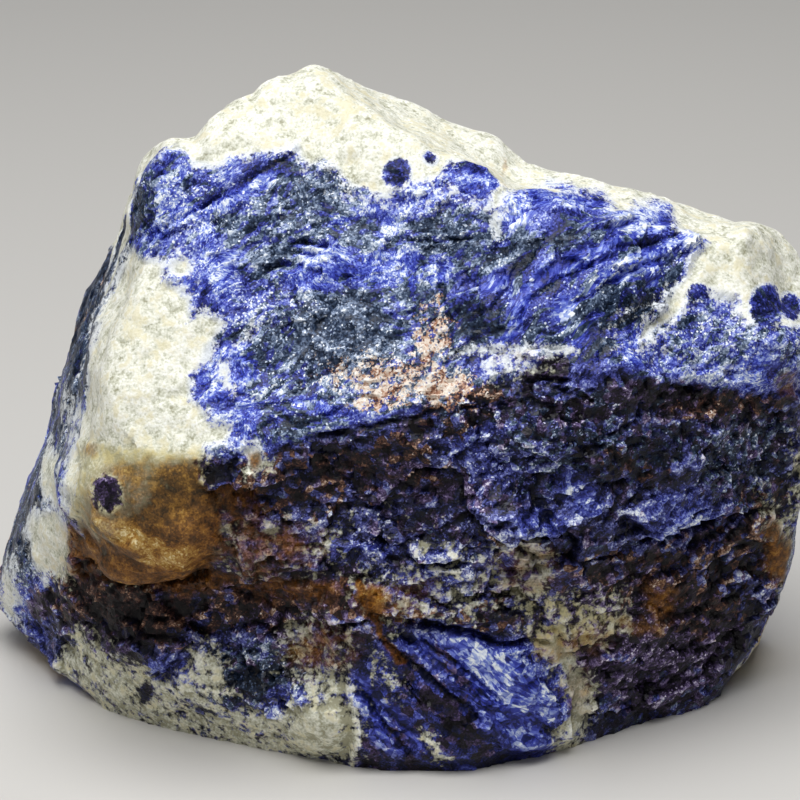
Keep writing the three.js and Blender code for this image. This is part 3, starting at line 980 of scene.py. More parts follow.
@dataclass(frozen=True)
class Relief:
    """How deep the stone's skin is broken: sizes and rises in millimetres, and their shares by zone."""

    blade_mm: Triple = (4.2, 1.9, 3.0)
    blade_rise_mm: float = 0.9
    splinter_mm: Triple = (1.9, 1.0, 1.3)
    splinter_rise_mm: float = 0.38
    hackle_mm: Triple = (6.0, 2.9, 1.4)
    hackle_rise_mm: Triple = (1.8, 1.1, 0.6)
    hackle_shape: Triple = (0.85, 1.0, 1.3)
    swell_mm: Triple = (6.0, 2.4, 1.1)
    swell_rise_mm: Triple = (0.5, 0.22, 0.12)
    hidden_rough: float = 0.85
    block_rough: float = 0.2
    glancing: float = 0.35
    pale_edge_mm: tuple[float, float] = (-0.3, 0.7)
    pale_drop_mm: float = 0.25
    pale_lumps: float = 0.08
    rough_lumps: float = 0.06
    stained_lumps: float = 0.14
    blade_channel: int = 100
    splinter_channel: int = 120
    hackle_channel: int = 140
    swell_channel: int = 180
    base_fade_mm: tuple[float, float] = (0.4, 3.5)

    def cut(self, points: np.ndarray, mapped: MineralMap) -> tuple[np.ndarray, np.ndarray]:
        """Works out how far each place is pushed out or in, and how light its own facet is.

        Args:
            points: Places on the skin in millimetres.
            mapped: Where each mineral shows.

        Returns:
            Height along the outward direction in millimetres, and the facet's tone, -0.5 to 0.5.
        """
        minerals = mapped.fields
        blades, blade_tone = self.blades(points, minerals["lean"])
        hackle = np.zeros(len(points))
        hackle_tone = np.zeros(len(points))
        swell = np.zeros(len(points))
        for level in range(3):
            grain = points * np.array(self.hackle_shape) / self.hackle_mm[level]
            rise, value = facets(grain, self.hackle_channel + 10 * level)
            hackle += self.hackle_rise_mm[level] * rise
            hackle_tone += value / 3
            soft = waves(points, self.swell_mm[level], self.swell_channel + level)
            swell += self.swell_rise_mm[level] * soft
        rough = np.maximum(minerals["front"], self.hidden_rough * (1.0 - mapped.seen))
        rough = np.where(minerals["lean"] == Lean.FALLING.value, self.block_rough * rough, rough)
        pale = ease(mapped.ground, *self.pale_edge_mm)
        stone = rough * hackle + (1.0 - rough) * blades
        stone *= self.glancing + (1.0 - self.glancing) * mapped.square_on
        lumpy = self.pale_lumps + self.rough_lumps * rough + self.stained_lumps * minerals["ochre"]
        height = (1.0 - pale) * stone + pale * (swell + lumpy * hackle - self.pale_drop_mm * (1.0 - rough))
        for ledge in LEDGES:
            height += mapped.seen * ledge.lift(mapped.picture)
        for slit in SLITS + (NOSE_RIDGE,):
            height -= mapped.seen * slit.drop(mapped.picture)
        tone = rough * hackle_tone + (1.0 - rough) * blade_tone
        return height * ease(points[:, 2], *self.base_fade_mm), tone

    def blades(self, points: np.ndarray, lean: np.ndarray) -> tuple[np.ndarray, np.ndarray]:
        """Works out the blades and the splinters on them.

        Args:
            points: Places on the skin in millimetres.
            lean: Which way the blades run there.

        Returns:
            Height in millimetres, and the tone of each blade and splinter.
        """
        bladed = np.zeros_like(points)
        thick = np.ones(len(points))
        for run in BLADE_RUNS:
            here = np.abs(lean - run.lean.value) < HALF_LEAN
            bladed[here] = points[here] @ run.axes.T / np.array(run.size)
            thick[here] = run.thick
        broad, broad_tone = facets(bladed / np.array(self.blade_mm), self.blade_channel)
        narrow, narrow_tone = facets(bladed / np.array(self.splinter_mm), self.splinter_channel)
        height = thick * (self.blade_rise_mm * broad + self.splinter_rise_mm * narrow)
        return height, 0.5 * (broad_tone + narrow_tone)


class Wiring:
    """Builds one material's nodes, a line to each."""

    mix_sockets: dict[str, tuple[int, int, int]] = {"RGBA": (6, 7, 2), "VECTOR": (4, 5, 1)}

    def __init__(self, material: bpy.types.Material) -> None:
        """Empties the material's node tree and keeps it at hand.

        Args:
            material: The material to build.
        """
        material.use_nodes = True
        self.tree = material.node_tree
        self.tree.nodes.clear()

    def add(self, kind: str, **settings: object) -> bpy.types.Node:
        """Adds a node.

        Args:
            kind: The node's type name.
            **settings: Properties to set on it.

        Returns:
            The new node.
        """
        node = self.tree.nodes.new(kind)
        for name, value in settings.items():
            setattr(node, name, value)
        return node

    def feed(self, socket: Socket, value: object) -> None:
        """Links a socket to another, or sets its plain value.

        Args:
            socket: The socket to feed.
            value: Another socket or a plain value.
        """
        if isinstance(value, Socket):
            self.tree.links.new(value, socket)
        else:
            socket.default_value = value

    def math(self, operation: str, first: object, second: object) -> Socket:
        """Works on two values.

        Args:
            operation: The Math node's operation.
            first: First value or socket.
            second: Second value or socket.

        Returns:
            The result's socket.
        """
        node = self.add("ShaderNodeMath", operation=operation)
        self.feed(node.inputs[0], first)
        self.feed(node.inputs[1], second)
        return node.outputs[0]

    def vector(self, operation: str, first: object, second: object) -> Socket:
        """Works on two vectors.

        Args:
            operation: The Vector Math node's operation.
            first: First vector or socket.
            second: Second vector or socket, or the factor for SCALE.

        Returns:
            The result's socket.
        """
        node = self.add("ShaderNodeVectorMath", operation=operation)
        self.feed(node.inputs[0], first)
        self.feed(node.inputs["Scale"] if operation == "SCALE" else node.inputs[1], second)
        return node.outputs["Value"] if operation == "DOT_PRODUCT" else node.outputs[0]

    def step(
        self, value: object, low: float, high: float, first: float = 0.0, last: float = 1.0
    ) -> Socket:
        """Goes smoothly from one value to another.

        Args:
            value: Value or socket to read.
            low: Reading that gives first.
            high: Reading that gives last.
            first: Result at low.
            last: Result at high.

        Returns:
            The result's socket.
        """
        node = self.add("ShaderNodeMapRange", interpolation_type="SMOOTHSTEP")
        for socket, number in zip(node.inputs, (value, low, high, first, last)):
            self.feed(socket, number)
        return node.outputs[0]

    def blend(self, share: object, first: object, second: object, kind: str = "RGBA") -> Socket:
        """Mixes two colours or vectors.

        Args:
            share: Share of the second one.
            first: First colour or vector, or its socket.
            second: Second colour or vector, or its socket.
            kind: RGBA or VECTOR.

        Returns:
            The mix's socket.
        """
        node = self.add("ShaderNodeMix", data_type=kind)
        start, end, result = self.mix_sockets[kind]
        self.feed(node.inputs[0], share)
        self.feed(node.inputs[start], first)
        self.feed(node.inputs[end], second)
        return node.outputs[result]

    def noise(self, where: Socket, size: float, detail: float) -> bpy.types.Node:
        """Makes soft noise.

        Args:
            where: Coordinates' socket.
            size: Size of the swells in the coordinates' units.
            detail: How many finer layers are added.

        Returns:
            The node.
        """
        node = self.add("ShaderNodeTexNoise")
        self.feed(node.inputs["Vector"], where)
        node.inputs["Scale"].default_value = 1.0 / size
        node.inputs["Detail"].default_value = detail
        return node

    def level_noise(self, where: Socket, size: float, detail: float) -> Socket:
        """Makes soft noise about 0, from the same values as noise."""
        return self.math("SUBTRACT", self.noise(where, size, detail).outputs["Fac"], 0.5)

    def cells(self, where: Socket, size: float) -> bpy.types.Node:
        """Makes grains of one size.

        Args:
            where: Coordinates' socket.
            size: Size of a grain in the coordinates' units.

        Returns:
            The node.
        """
        node = self.add("ShaderNodeTexVoronoi")
        self.feed(node.inputs["Vector"], where)
        node.inputs["Scale"].default_value = 1.0 / size
        return node

    def ramp(self, value: Socket, stops: Stops) -> Socket:
        """Turns a value into a colour.

        Args:
            value: Value's socket.
            stops: Places from 0 to 1 with their colours.

        Returns:
            The colour's socket.
        """
        node = self.add("ShaderNodeValToRGB")
        self.feed(node.inputs[0], value)
        points = node.color_ramp.elements
        while len(points) < len(stops):
            points.new(1.0)
        for point, (place, colour) in zip(points, stops):
            point.position = place
            point.color = colour
        return node.outputs[0]

    def share(self, name: str) -> Socket:
        """Reads one of the skin's own attributes."""
        return self.add("ShaderNodeAttribute", attribute_name=name).outputs["Fac"]

    def shares(self, **weights: float) -> list[tuple[Socket, float]]:
        """Reads the skin's attributes that are named, each with its weight."""
        return [(self.share(name), weight) for name, weight in weights.items()]

    def sum(self, *parts: tuple[object, float], start: float = 0.0) -> Socket:
        """Adds weighted values up.

        Args:
            *parts: Values or sockets, each with its weight.
            start: Value to start from.

        Returns:
            The total's socket.
        """
        total = start
        for value, weight in parts:
            node = self.add("ShaderNodeMath", operation="MULTIPLY_ADD")
            for socket, number in zip(node.inputs, (value, weight, total)):
                self.feed(socket, number)
            total = node.outputs[0]
        return total

    def channels(self, colour: Socket) -> tuple[Socket, ...]:
        """Splits a colour into three values.

        Args:
            colour: The colour's socket.

        Returns:
            The sockets of its red, green and blue.
        """
        node = self.add("ShaderNodeSeparateColor")
        self.feed(node.inputs[0], colour)
        return tuple(node.outputs)

    def tilt(self, where: Socket, grains: bpy.types.Node) -> Socket:
        """Gives each grain a plane of its own.

        Args:
            where: Coordinates that the grains were made in.
            grains: The grains.

        Returns:
            The height's socket, in the coordinates' units.
        """
        away = self.vector("SUBTRACT", where, grains.outputs["Position"])
        slope = self.vector("SUBTRACT", grains.outputs["Color"], (0.5, 0.5, 0.5))
        return self.vector("DOT_PRODUCT", away, slope)

    def surface(self, **inputs: object) -> None:
        """Ends the material in one shader.

        Args:
            **inputs: Values or sockets for the shader's inputs, with _ for each space in their names.
        """
        shader = self.add("ShaderNodeBsdfPrincipled")
        for name, value in inputs.items():
            self.feed(shader.inputs[name.replace("_", " ")], value)
        output = self.add("ShaderNodeOutputMaterial")
        self.tree.links.new(shader.outputs[0], output.inputs["Surface"])


@dataclass(frozen=True)
class Grain:
    """The patterns that all of the rock's minerals share."""

    mm: Socket
    space: Socket
    fine: Socket
    clots: Socket
    drift: Socket
    front: Socket
    cells: dict[str, bpy.types.Node]
    chances: dict[str, tuple[Socket, ...]]


@dataclass(frozen=True)
class RockFinish:
    """The stone's whole finish: blue blades, dark grains, pale rock and stains, read from the mineral map.

    One tone, light or dark, is worked out from blades, crumbs and the finest grain, with painted glints and
    painted shade on the front and in hollows. Each mineral turns that tone into its own colours, and the
    minerals meet along the edges of single grains.
    """

    name: str = "sodalite_rock"
    blade_mm: Triple = (3.8, 1.15, 1.8)
    splinter_to_blade: float = 0.42
    slivers_to_blade: Triple = (13.0, 6.4, 9.0)
    streak_to_blade: Triple = (0.9, 2.8, 1.6)
    streak_size: float = 0.8
    bend_span_mm: float = 1.0 / 0.22
    bend_mm: float = 3.0
    crumb_mm: float = 0.95
    chip_mm: float = 0.21
    grain_mm: float = 0.30
    clot_mm: float = 1.1
    drift_mm: float = 2.2
    pale_edge_mm: tuple[float, float] = (2.0, 0.75)
    specular: float = 0.2
    bump_mm: float = 0.55
    bump_strength: float = 0.8
    blue: Stops = shades(
        (0.00, 7, 13, 46), (0.18, 22, 30, 80), (0.34, 31, 37, 116), (0.50, 51, 63, 169),
        (0.64, 87, 104, 204), (0.78, 148, 166, 222), (1.00, 242, 248, 252),
    )
    # A duller, darker copy of the blue: the rock's duller blue everywhere, and painted shade where the front
    # takes more of it.
    dull_and_shaded_blue: Stops = shades(
        (0.00, 6, 8, 24), (0.18, 19, 21, 52), (0.34, 44, 46, 92), (0.50, 72, 77, 140),
        (0.66, 118, 124, 182), (0.82, 178, 186, 216), (1.00, 240, 245, 250),
    )
    ink: Stops = shades(
        (0.00, 6, 14, 28), (0.28, 28, 40, 62), (0.46, 57, 71, 96), (0.64, 110, 126, 154),
        (0.80, 174, 188, 212), (1.00, 242, 247, 251),
    )
    violet: Stops = shades(
        (0.00, 10, 8, 14), (0.30, 36, 28, 48), (0.50, 70, 56, 92), (0.72, 128, 112, 156),
        (1.00, 224, 218, 236),
    )
    rust: Stops = shades(
        (0.00, 9, 6, 10), (0.24, 36, 23, 25), (0.44, 70, 45, 40), (0.62, 118, 84, 66),
        (0.80, 182, 154, 134), (1.00, 238, 230, 222),
    )
    grit: Stops = shades(
        (0.00, 60, 44, 44), (0.18, 128, 84, 62), (0.32, 186, 146, 122), (0.48, 220, 204, 188),
        (1.00, 253, 250, 243),
    )
    cream: Stops = shades(
        (0.00, 158, 156, 132), (0.28, 199, 200, 182), (0.52, 227, 227, 213), (0.80, 244, 245, 238),
        (1.00, 254, 254, 250),
    )
    ochre: Stops = shades(
        (0.00, 36, 20, 6), (0.32, 96, 56, 12), (0.55, 142, 92, 26), (0.78, 182, 142, 68),
        (1.00, 228, 212, 164),
    )
    khaki: Stops = shades(
        (0.00, 30, 22, 10), (0.32, 86, 62, 24), (0.55, 138, 108, 50), (0.78, 188, 164, 102),
        (1.00, 234, 224, 190),
    )
    olive: Colour = tint(204, 194, 144)
    haze: Colour = tint(222, 230, 246)

    def material(self) -> bpy.types.Material:
        """Builds the rock's material.

        Returns:
            The finished material.
        """
        material = bpy.data.materials.new(self.name)
        wiring = Wiring(material)
        grain = self.grain(wiring)
        tone = self.tone(wiring, grain)
        pale = self.pale_share(wiring, grain)
        colour = self.grain_colour(wiring, grain, tone)
        colour = wiring.blend(pale, colour, self.pale_colour(wiring, grain, tone))
        colour = self.stain(wiring, grain, tone, pale, colour)
        wiring.surface(
            Base_Color=colour,
            Specular_IOR_Level=self.specular,
            Roughness=self.roughness(wiring, grain, pale),
            Normal=self.bumps(wiring, grain),
        )
        return material

    def grain(self, wiring: Wiring) -> Grain:
        """Makes the noises and the grains that all minerals share.

        The finest chips are thin slivers where the blue is clean, and sugary crumbs elsewhere.

        Args:
            wiring: The material's nodes.

        Returns:
            The shared patterns.
        """
        place = wiring.add("ShaderNodeTexCoord").outputs["Object"]
        mm = wiring.vector("SCALE", place, 1.0 / MM)
        space = self.blade_space(wiring, mm)
        sugary = wiring.sum(
            *wiring.shares(ink=1.0, front=1.0, grit=2.0),
            (wiring.step(wiring.share("pale"), -2.0, 0.0), 1.0),
            *wiring.shares(royal=-1.2, periwinkle=-1.2),
            start=0.6,
        )
        slivers = wiring.vector("MULTIPLY", space, self.slivers_to_blade)
        crumbled = wiring.vector("SCALE", mm, 1.0 / self.chip_mm)
        chip_space = wiring.blend(wiring.math("GREATER_THAN", sugary, 0.45), slivers, crumbled, "VECTOR")
        cells = {
            "blade": wiring.cells(space, 1.0),
            "splinter": wiring.cells(space, self.splinter_to_blade),
            "crumb": wiring.cells(mm, self.crumb_mm),
            "chip": wiring.cells(chip_space, 1.0),
        }
        return Grain(
            mm=mm,
            space=space,
            fine=wiring.level_noise(mm, self.grain_mm, 1.5),
            clots=wiring.level_noise(mm, self.clot_mm, 3.0),
            drift=wiring.level_noise(mm, self.drift_mm, 3.0),
            front=wiring.share("front"),
            cells=cells,
            chances={name: wiring.channels(node.outputs["Color"]) for name, node in cells.items()},
        )

    def blade_space(self, wiring: Wiring, mm: Socket) -> Socket:
        """Turns the stone's coordinates into the blades' own, zone by zone.

        Args:
            wiring: The material's nodes.
            mm: The stone's coordinates in millimetres.

        Returns:
            Coordinates in which a blade is about 1 across.
        """
        bend = wiring.noise(mm, self.bend_span_mm, 0.0).outputs["Color"]
        shift = wiring.vector("SCALE", wiring.vector("SUBTRACT", bend, (0.5, 0.5, 0.5)), self.bend_mm)
        bent = wiring.vector("ADD", mm, shift)
        lean = wiring.share("lean")
        space = None
        for run in BLADE_RUNS:
            mapping = wiring.add("ShaderNodeMapping", vector_type="TEXTURE")
            wiring.feed(mapping.inputs["Vector"], bent)
            mapping.inputs["Rotation"].default_value = run.turn
            mapping.inputs["Scale"].default_value = [
                share * size for share, size in zip(run.size, self.blade_mm)
            ]
            turned = mapping.outputs[0]
            if space is None:
                space = turned
                continue
            here = wiring.math("COMPARE", lean, run.lean.value)
            here.node.inputs[2].default_value = HALF_LEAN
            space = wiring.blend(here, space, turned, "VECTOR")
        return space

    def tone(self, wiring: Wiring, grain: Grain) -> Socket:
        """Works out how light or dark each grain is, with painted glints and painted shade.

        Args:
            wiring: The material's nodes.
            grain: The shared patterns.

        Returns:
            The tone, 0 for black to 1 for white.
        """
        chances = grain.chances
        streaked = wiring.vector("MULTIPLY", grain.space, self.streak_to_blade)
        crumb = wiring.math("SUBTRACT", chances["crumb"][0], 0.5)
        # glint: white flecks painted into the colour, painted glints, in part real white frost grains
        glint = wiring.step(chances["chip"][0], 0.76, 0.99)
        glint_rise = wiring.sum(
            *wiring.shares(frost=0.34, ink=0.08, royal=-0.14, periwinkle=-0.10), start=0.15
        )
        glint_rise = wiring.math("MAXIMUM", glint_rise, 0.0)
        return wiring.sum(
            (chances["blade"][0], 0.24),
            (chances["splinter"][0], 0.21),
            (chances["chip"][1], 0.36),
            (wiring.math("MULTIPLY", glint, glint_rise), 1.0),
            *wiring.shares(facet=0.25),
            (wiring.level_noise(streaked, self.streak_size, 3.0), 0.20),
            (grain.clots, 0.26),
            (wiring.math("MULTIPLY", crumb, wiring.sum((grain.front, 0.24), start=0.16)), 1.0),
            *wiring.shares(frost=0.08, royal=0.12, periwinkle=0.20, night=-0.28, ink=-0.08),
            # front and cavity darken the tone: painted shade on the front below the brow, partly its darker
            # rock, and in hollows
            *wiring.shares(front=-0.26, cavity=-0.21),
            (wiring.math("MULTIPLY", wiring.share("cavity"), grain.front), -0.12),
            start=0.085,
        )

    def grain_colour(self, wiring: Wiring, grain: Grain, tone: Socket) -> Socket:
        """Colours the blue rock and the dark, rusty and gritty grains in it.

        Args:
            wiring: The material's nodes.
            grain: The shared patterns.
            tone: The tone of the grains.

        Returns:
            The colour's socket.
        """
        # Some duller blue everywhere, more on the front as painted shade, less on royal and periwinkle
        # blades.
        dull_and_shaded_share = wiring.sum(*wiring.shares(front=0.6, royal=-0.6, periwinkle=-0.3), start=0.36)
        dull_and_shaded_share = wiring.math("MAXIMUM", dull_and_shaded_share, 0.0)
        colour = wiring.blend(dull_and_shaded_share, wiring.ramp(tone, self.blue), wiring.ramp(tone, self.dull_and_shaded_blue))
        crumb = grain.chances["crumb"]
        clumps = wiring.sum((grain.chances["chip"][2], 0.45), (crumb[1], 0.55))
        layers = (
            # mineral, its colours, a random value and its weight, share everywhere, share on the front
            ("ink", self.ink, grain.chances["splinter"][1], 0.80, 0.24, -0.06),
            ("violet", self.violet, crumb[1], 0.60, 0.12, 0.36),
            ("rust", self.rust, crumb[2], 0.60, 0.12, 0.07),
            ("grit", self.grit, clumps, 0.85, 0.0, 0.0),
        )
        for mineral, stops, jitter, spread, everywhere, on_front in layers:
            share = wiring.sum(
                (wiring.share(mineral), 1.0),
                (jitter, spread),
                (grain.clots, 0.6),
                *wiring.shares(front=on_front, royal=-0.35, periwinkle=-0.35),
                start=everywhere,
            )
            colour = wiring.blend(wiring.step(share, 0.86, 1.04), colour, wiring.ramp(tone, stops))
        return colour

    def pale_share(self, wiring: Wiring, grain: Grain) -> Socket:
        """Draws the pale rock's edge, which breaks up into single grains.

        Args:
            wiring: The material's nodes.
            grain: The shared patterns.

        Returns:
            The pale rock's share.
        """
        coarse_mm, fine_mm = self.pale_edge_mm
        coarse = wiring.level_noise(grain.mm, coarse_mm, 3.0)
        middle = wiring.level_noise(grain.mm, fine_mm, 2.0)
        spread = wiring.math("MULTIPLY", coarse, wiring.sum((grain.front, 2.0), start=2.4))
        sprinkle = wiring.math("MULTIPLY", middle, wiring.sum((grain.front, 3.0), start=2.4))
        jitter = grain.chances["chip"][2]
        depth = wiring.sum(
            *wiring.shares(pale=1.0), (spread, 1.0), (sprinkle, 1.0), (jitter, 0.7), start=-0.35
        )
        soft = wiring.sum((grain.front, -0.4), start=1.0)
        return wiring.step(wiring.math("MULTIPLY", depth, soft), -0.5, 0.4)

    def pale_colour(self, wiring: Wiring, grain: Grain, tone: Socket) -> Socket:
        """Colours the pale rock, with painted shade in its hollows and on the front.

        Args:
            wiring: The material's nodes.
            grain: The shared patterns.
            tone: The tone of the grains underneath.

        Returns:
            The colour's socket.
        """
        light = wiring.sum(
            (grain.clots, 1.25),
            (grain.fine, 1.1),
            (tone, 0.30),
            (grain.drift, 0.7),
            # cavity and front darken the pale rock: painted shade in hollows and on the front
            *wiring.shares(cavity=-0.4, front=-0.20),
            start=0.385,
        )
        mottle = wiring.sum(*wiring.shares(olive=0.20), (grain.drift, 0.9), (grain.clots, 1.0))
        shaded = wiring.math("MULTIPLY", wiring.share("olive"), grain.front)
        share = wiring.sum((wiring.step(mottle, 0.0, 0.32, 0.0, 0.6), 1.0), (shaded, 0.5))
        colour = wiring.blend(share, wiring.ramp(light, self.cream), self.olive)
        edge = wiring.step(wiring.share("pale"), 0.0, 1.0, 0.6, 0.0)
        lit = wiring.math("SUBTRACT", 1.0, grain.front)
        return wiring.blend(wiring.math("MULTIPLY", edge, lit), colour, self.haze)

    def stain(self, wiring: Wiring, grain: Grain, tone: Socket, pale: Socket, colour: Socket) -> Socket:
        """Lays the ochre and khaki stains over everything.

        Args:
            wiring: The material's nodes.
            grain: The shared patterns.
            tone: The tone of the grains.
            pale: The pale rock's share.
            colour: The colour underneath.

        Returns:
            The colour's socket.
        """
        stained = wiring.sum(*wiring.shares(ochre=1.1), (grain.clots, 0.7), (grain.drift, 0.8))
        stained = wiring.step(stained, 0.0, 0.8, 0.0, 0.97)
        stained = wiring.math("MULTIPLY", stained, wiring.step(wiring.share("ochre"), 0.0, 0.8))
        light = wiring.sum(
            (tone, 0.34),
            (grain.clots, 0.36),
            (grain.drift, 0.80),
            (grain.fine, 0.30),
            (pale, 0.10),
            (grain.chances["chip"][1], 0.12),
            *wiring.shares(frost=0.42),
            start=0.08,
        )
        greener = wiring.sum(*wiring.shares(olive=0.7))
        stain = wiring.blend(greener, wiring.ramp(light, self.ochre), wiring.ramp(light, self.khaki))
        return wiring.blend(stained, colour, stain)

    def roughness(self, wiring: Wiring, grain: Grain, pale: Socket) -> Socket:
        """Makes the blades glassy, the pale rock dull and the stains duller.

        Args:
            wiring: The material's nodes.
            grain: The shared patterns.
            pale: The pale rock's share.

        Returns:
            The roughness socket.
        """
        splinter = grain.chances["splinter"][0]
        rough = wiring.sum(
            (splinter, 0.22), (grain.fine, 0.3), (pale, 0.22), *wiring.shares(rust=0.2), start=0.28
        )
        return wiring.math("MINIMUM", rough, 0.9)

    def bumps(self, wiring: Wiring, grain: Grain) -> Socket:
        """Tilts each splinter and crumb its own way and adds the finest grain, too small for the mesh.

        Args:
            wiring: The material's nodes.
            grain: The shared patterns.

        Returns:
            The normal's socket.
        """
        crumbed = wiring.tilt(grain.mm, grain.cells["crumb"])
        crumbed = wiring.math("MULTIPLY", crumbed, wiring.sum((grain.front, 0.7), start=0.25))
        broken = wiring.sum((wiring.tilt(grain.space, grain.cells["splinter"]), 0.65), (crumbed, 1.0))
        smoother = wiring.step(wiring.share("pale"), -0.6, 0.6, 1.0, 0.2)
        broken = wiring.math("MULTIPLY", broken, smoother)
        bump = wiring.add("ShaderNodeBump")
        bump.inputs["Strength"].default_value = self.bump_strength
        bump.inputs["Distance"].default_value = self.bump_mm * MM
        wiring.feed(bump.inputs["Height"], wiring.sum((broken, 1.0), (grain.fine, 0.14), (grain.clots, 0.30)))
        return bump.outputs[0]


@dataclass(frozen=True)
class FloorFinish:
    """A plain pale floor."""

    name: str = "pale_floor"
    colour: Colour = tint(202, 200, 196)
    roughness: float = 0.7

    def material(self) -> bpy.types.Material:
        """Builds the floor's material.

        Returns:
            The finished material.
        """
        material = bpy.data.materials.new(self.name)
        Wiring(material).surface(Base_Color=self.colour, Roughness=self.roughness)
        return material


@dataclass
class SodaliteStone:
    """The stone itself."""

    eye: Eye
    node_name: str = "sodalite_stone"
    piece_name: str = "sodalite_rough_stone"
    slot_name: str = "sodalite"
    merge_m: float = 1e-6
    skin_mm: float = 0.84
    refined_facing: float = 0.12
    weathering: float = 0.5
    weathering_rounds: int = 8
    base_mm: float = 0.3
    sliver_mm: float = 0.02
    hollow_mm: float = 0.4
    hollow_rounds: int = 8
    crisp_deg: float = 24.0
    relief: Relief = Relief()
    finish: RockFinish = RockFinish()

    def build(self) -> bpy.types.Object:
        """Builds the stone, breaks its skin, maps its minerals and dresses it.

        Returns:
            The finished piece.
        """
        stone = self.even_skin()
        self.refine_seen_side(stone)
        self.weather(stone)
        self.swell(stone)
        minerals = MineralMap(self.eye)
        points, normals = self.skin(stone)
        minerals.draw(points, normals)
        heights, tone = self.relief.cut(points, minerals)
        minerals.fields["facet"] = tone
        # cavity: how deep each place lies in a hollow, read by the finish for painted shade
        minerals.fields["cavity"] = self.cavities(stone, heights)
        points = points + normals * heights[:, None]
        points[points[:, 2] < self.base_mm, 2] = 0.0
        self.move(stone, points)
        self.write_fields(stone, minerals.fields)
        self.close_slivers(stone)
        stone.data.materials.clear()
        stone.data.materials.append(self.finish.material())
        bpy.ops.object.shade_smooth_by_angle(angle=math.radians(self.crisp_deg))
        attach(stone, "root")
        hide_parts(self.node_name)
        return stone

    def even_skin(self) -> bpy.types.Object:
        """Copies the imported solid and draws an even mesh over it.

        Returns:
            The new piece.
        """
        bpy.ops.object.select_all(action="DESELECT")
        stone = bpy.data.objects.new(self.piece_name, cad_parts[self.node_name].data.copy())
        bpy.context.scene.collection.objects.link(stone)
        stone.select_set(True)
        bpy.context.view_layer.objects.active = stone
        bpy.ops.object.mode_set(mode="EDIT")
        bpy.ops.mesh.select_all(action="SELECT")
        bpy.ops.mesh.remove_doubles(threshold=self.merge_m)
        bpy.ops.object.mode_set(mode="OBJECT")
        remesh = stone.modifiers.new("even skin", "REMESH")
        remesh.mode = "VOXEL"
        remesh.voxel_size = self.skin_mm * MM
        bpy.ops.object.modifier_apply(modifier=remesh.name)
        return stone

    def refine_seen_side(self, stone: bpy.types.Object) -> None:
        """Halves the mesh's size on the side that is seen.

        Args:
            stone: The piece.
        """
        facing = self.eye.facing(*self.read(stone.data.polygons, "center", "normal"))
        self.edit_faces(stone, facing > self.refined_facing)
        bpy.ops.mesh.subdivide(number_cuts=1, ngon=False)
        bpy.ops.object.mode_set(mode="OBJECT")

    def weather(self, stone: bpy.types.Object) -> None:
        """Rounds the solid's broad facets off, apart from the level underside.

        Args:
            stone: The piece.
        """
        points, _ = self.skin(stone)
        group = stone.vertex_groups.new(name="above_base")
        above = np.nonzero(points[:, 2] > self.base_mm)[0]
        group.add(above.tolist(), 1.0, "REPLACE")
        smooth = stone.modifiers.new("weathering", "SMOOTH")
        smooth.factor = self.weathering
        smooth.iterations = self.weathering_rounds
        smooth.vertex_group = group.name
        bpy.ops.object.modifier_apply(modifier=smooth.name)

    def swell(self, stone: bpy.types.Object) -> None:
        """Draws the stone's broad bulges and dips.

        Args:
            stone: The piece.
        """
        points, _ = self.skin(stone)
        picture = self.eye.picture(points)
        self.move(stone, points + sum(swell.shift(picture) for swell in SWELLS))

    def close_slivers(self, stone: bpy.types.Object) -> None:
        """Merges the slivers that levelling the underside leaves, and lays its faces out evenly.

        Args:
            stone: The piece.
        """
        self.edit_faces(stone, np.ones(len(stone.data.polygons), bool))
        bpy.ops.mesh.remove_doubles(threshold=self.sliver_mm * MM)
        bpy.ops.mesh.dissolve_degenerate(threshold=self.sliver_mm * MM)
        bpy.ops.object.mode_set(mode="OBJECT")
        centres, _ = self.read(stone.data.polygons, "center", "normal")
        self.edit_faces(stone, centres[:, 2] < self.sliver_mm)
        bpy.ops.mesh.quads_convert_to_tris(quad_method="BEAUTY", ngon_method="BEAUTY")
        bpy.ops.object.mode_set(mode="OBJECT")

    def cavities(self, stone: bpy.types.Object, heights: np.ndarray) -> np.ndarray:
        """Finds the places that lie lower than what is around them, which the finish darkens as painted
        shade.

        Args:
            stone: The piece.
            heights: How far each place was pushed out, in millimetres.

        Returns:
            1 in a hollow, 0 on the level and -1 on a ridge.
        """
        ends = np.empty(len(stone.data.edges) * 2, np.int64)
        stone.data.edges.foreach_get("vertices", ends)
        ends = ends.reshape(-1, 2)
        count = len(heights)
        neighbours = np.bincount(ends.ravel(), minlength=count)
        around = heights.copy()
        for _ in range(self.hollow_rounds):
            total = np.bincount(ends[:, 0], around[ends[:, 1]], count)
            total += np.bincount(ends[:, 1], around[ends[:, 0]], count)
            around = total / neighbours
        return np.clip((around - heights) / self.hollow_mm, -1.0, 1.0)

    def skin(self, stone: bpy.types.Object) -> tuple[np.ndarray, np.ndarray]:
        """Reads the places of the mesh's points in millimetres, and their outward directions."""
        return self.read(stone.data.vertices, "co", "normal")

    @staticmethod
    def read(
        parts: bpy.types.bpy_prop_collection, place_name: str, normal_name: str
    ) -> tuple[np.ndarray, np.ndarray]:
        """Reads the places and outward directions of a mesh's points or faces.

        Args:
            parts: The points or faces.
            place_name: What their place is called.
            normal_name: What their direction is called.

        Returns:
            Places in millimetres and unit normals, one row of three to each.
        """
        places = np.empty(len(parts) * 3)
        parts.foreach_get(place_name, places)
        normals = np.empty(len(parts) * 3)
        parts.foreach_get(normal_name, normals)
        return places.reshape(-1, 3) / MM, normals.reshape(-1, 3)

    @staticmethod
    def move(stone: bpy.types.Object, points: np.ndarray) -> None:
        """Moves the mesh's points to new places in millimetres."""
        stone.data.vertices.foreach_set("co", (points * MM).astype(np.float32).ravel())
        stone.data.update()

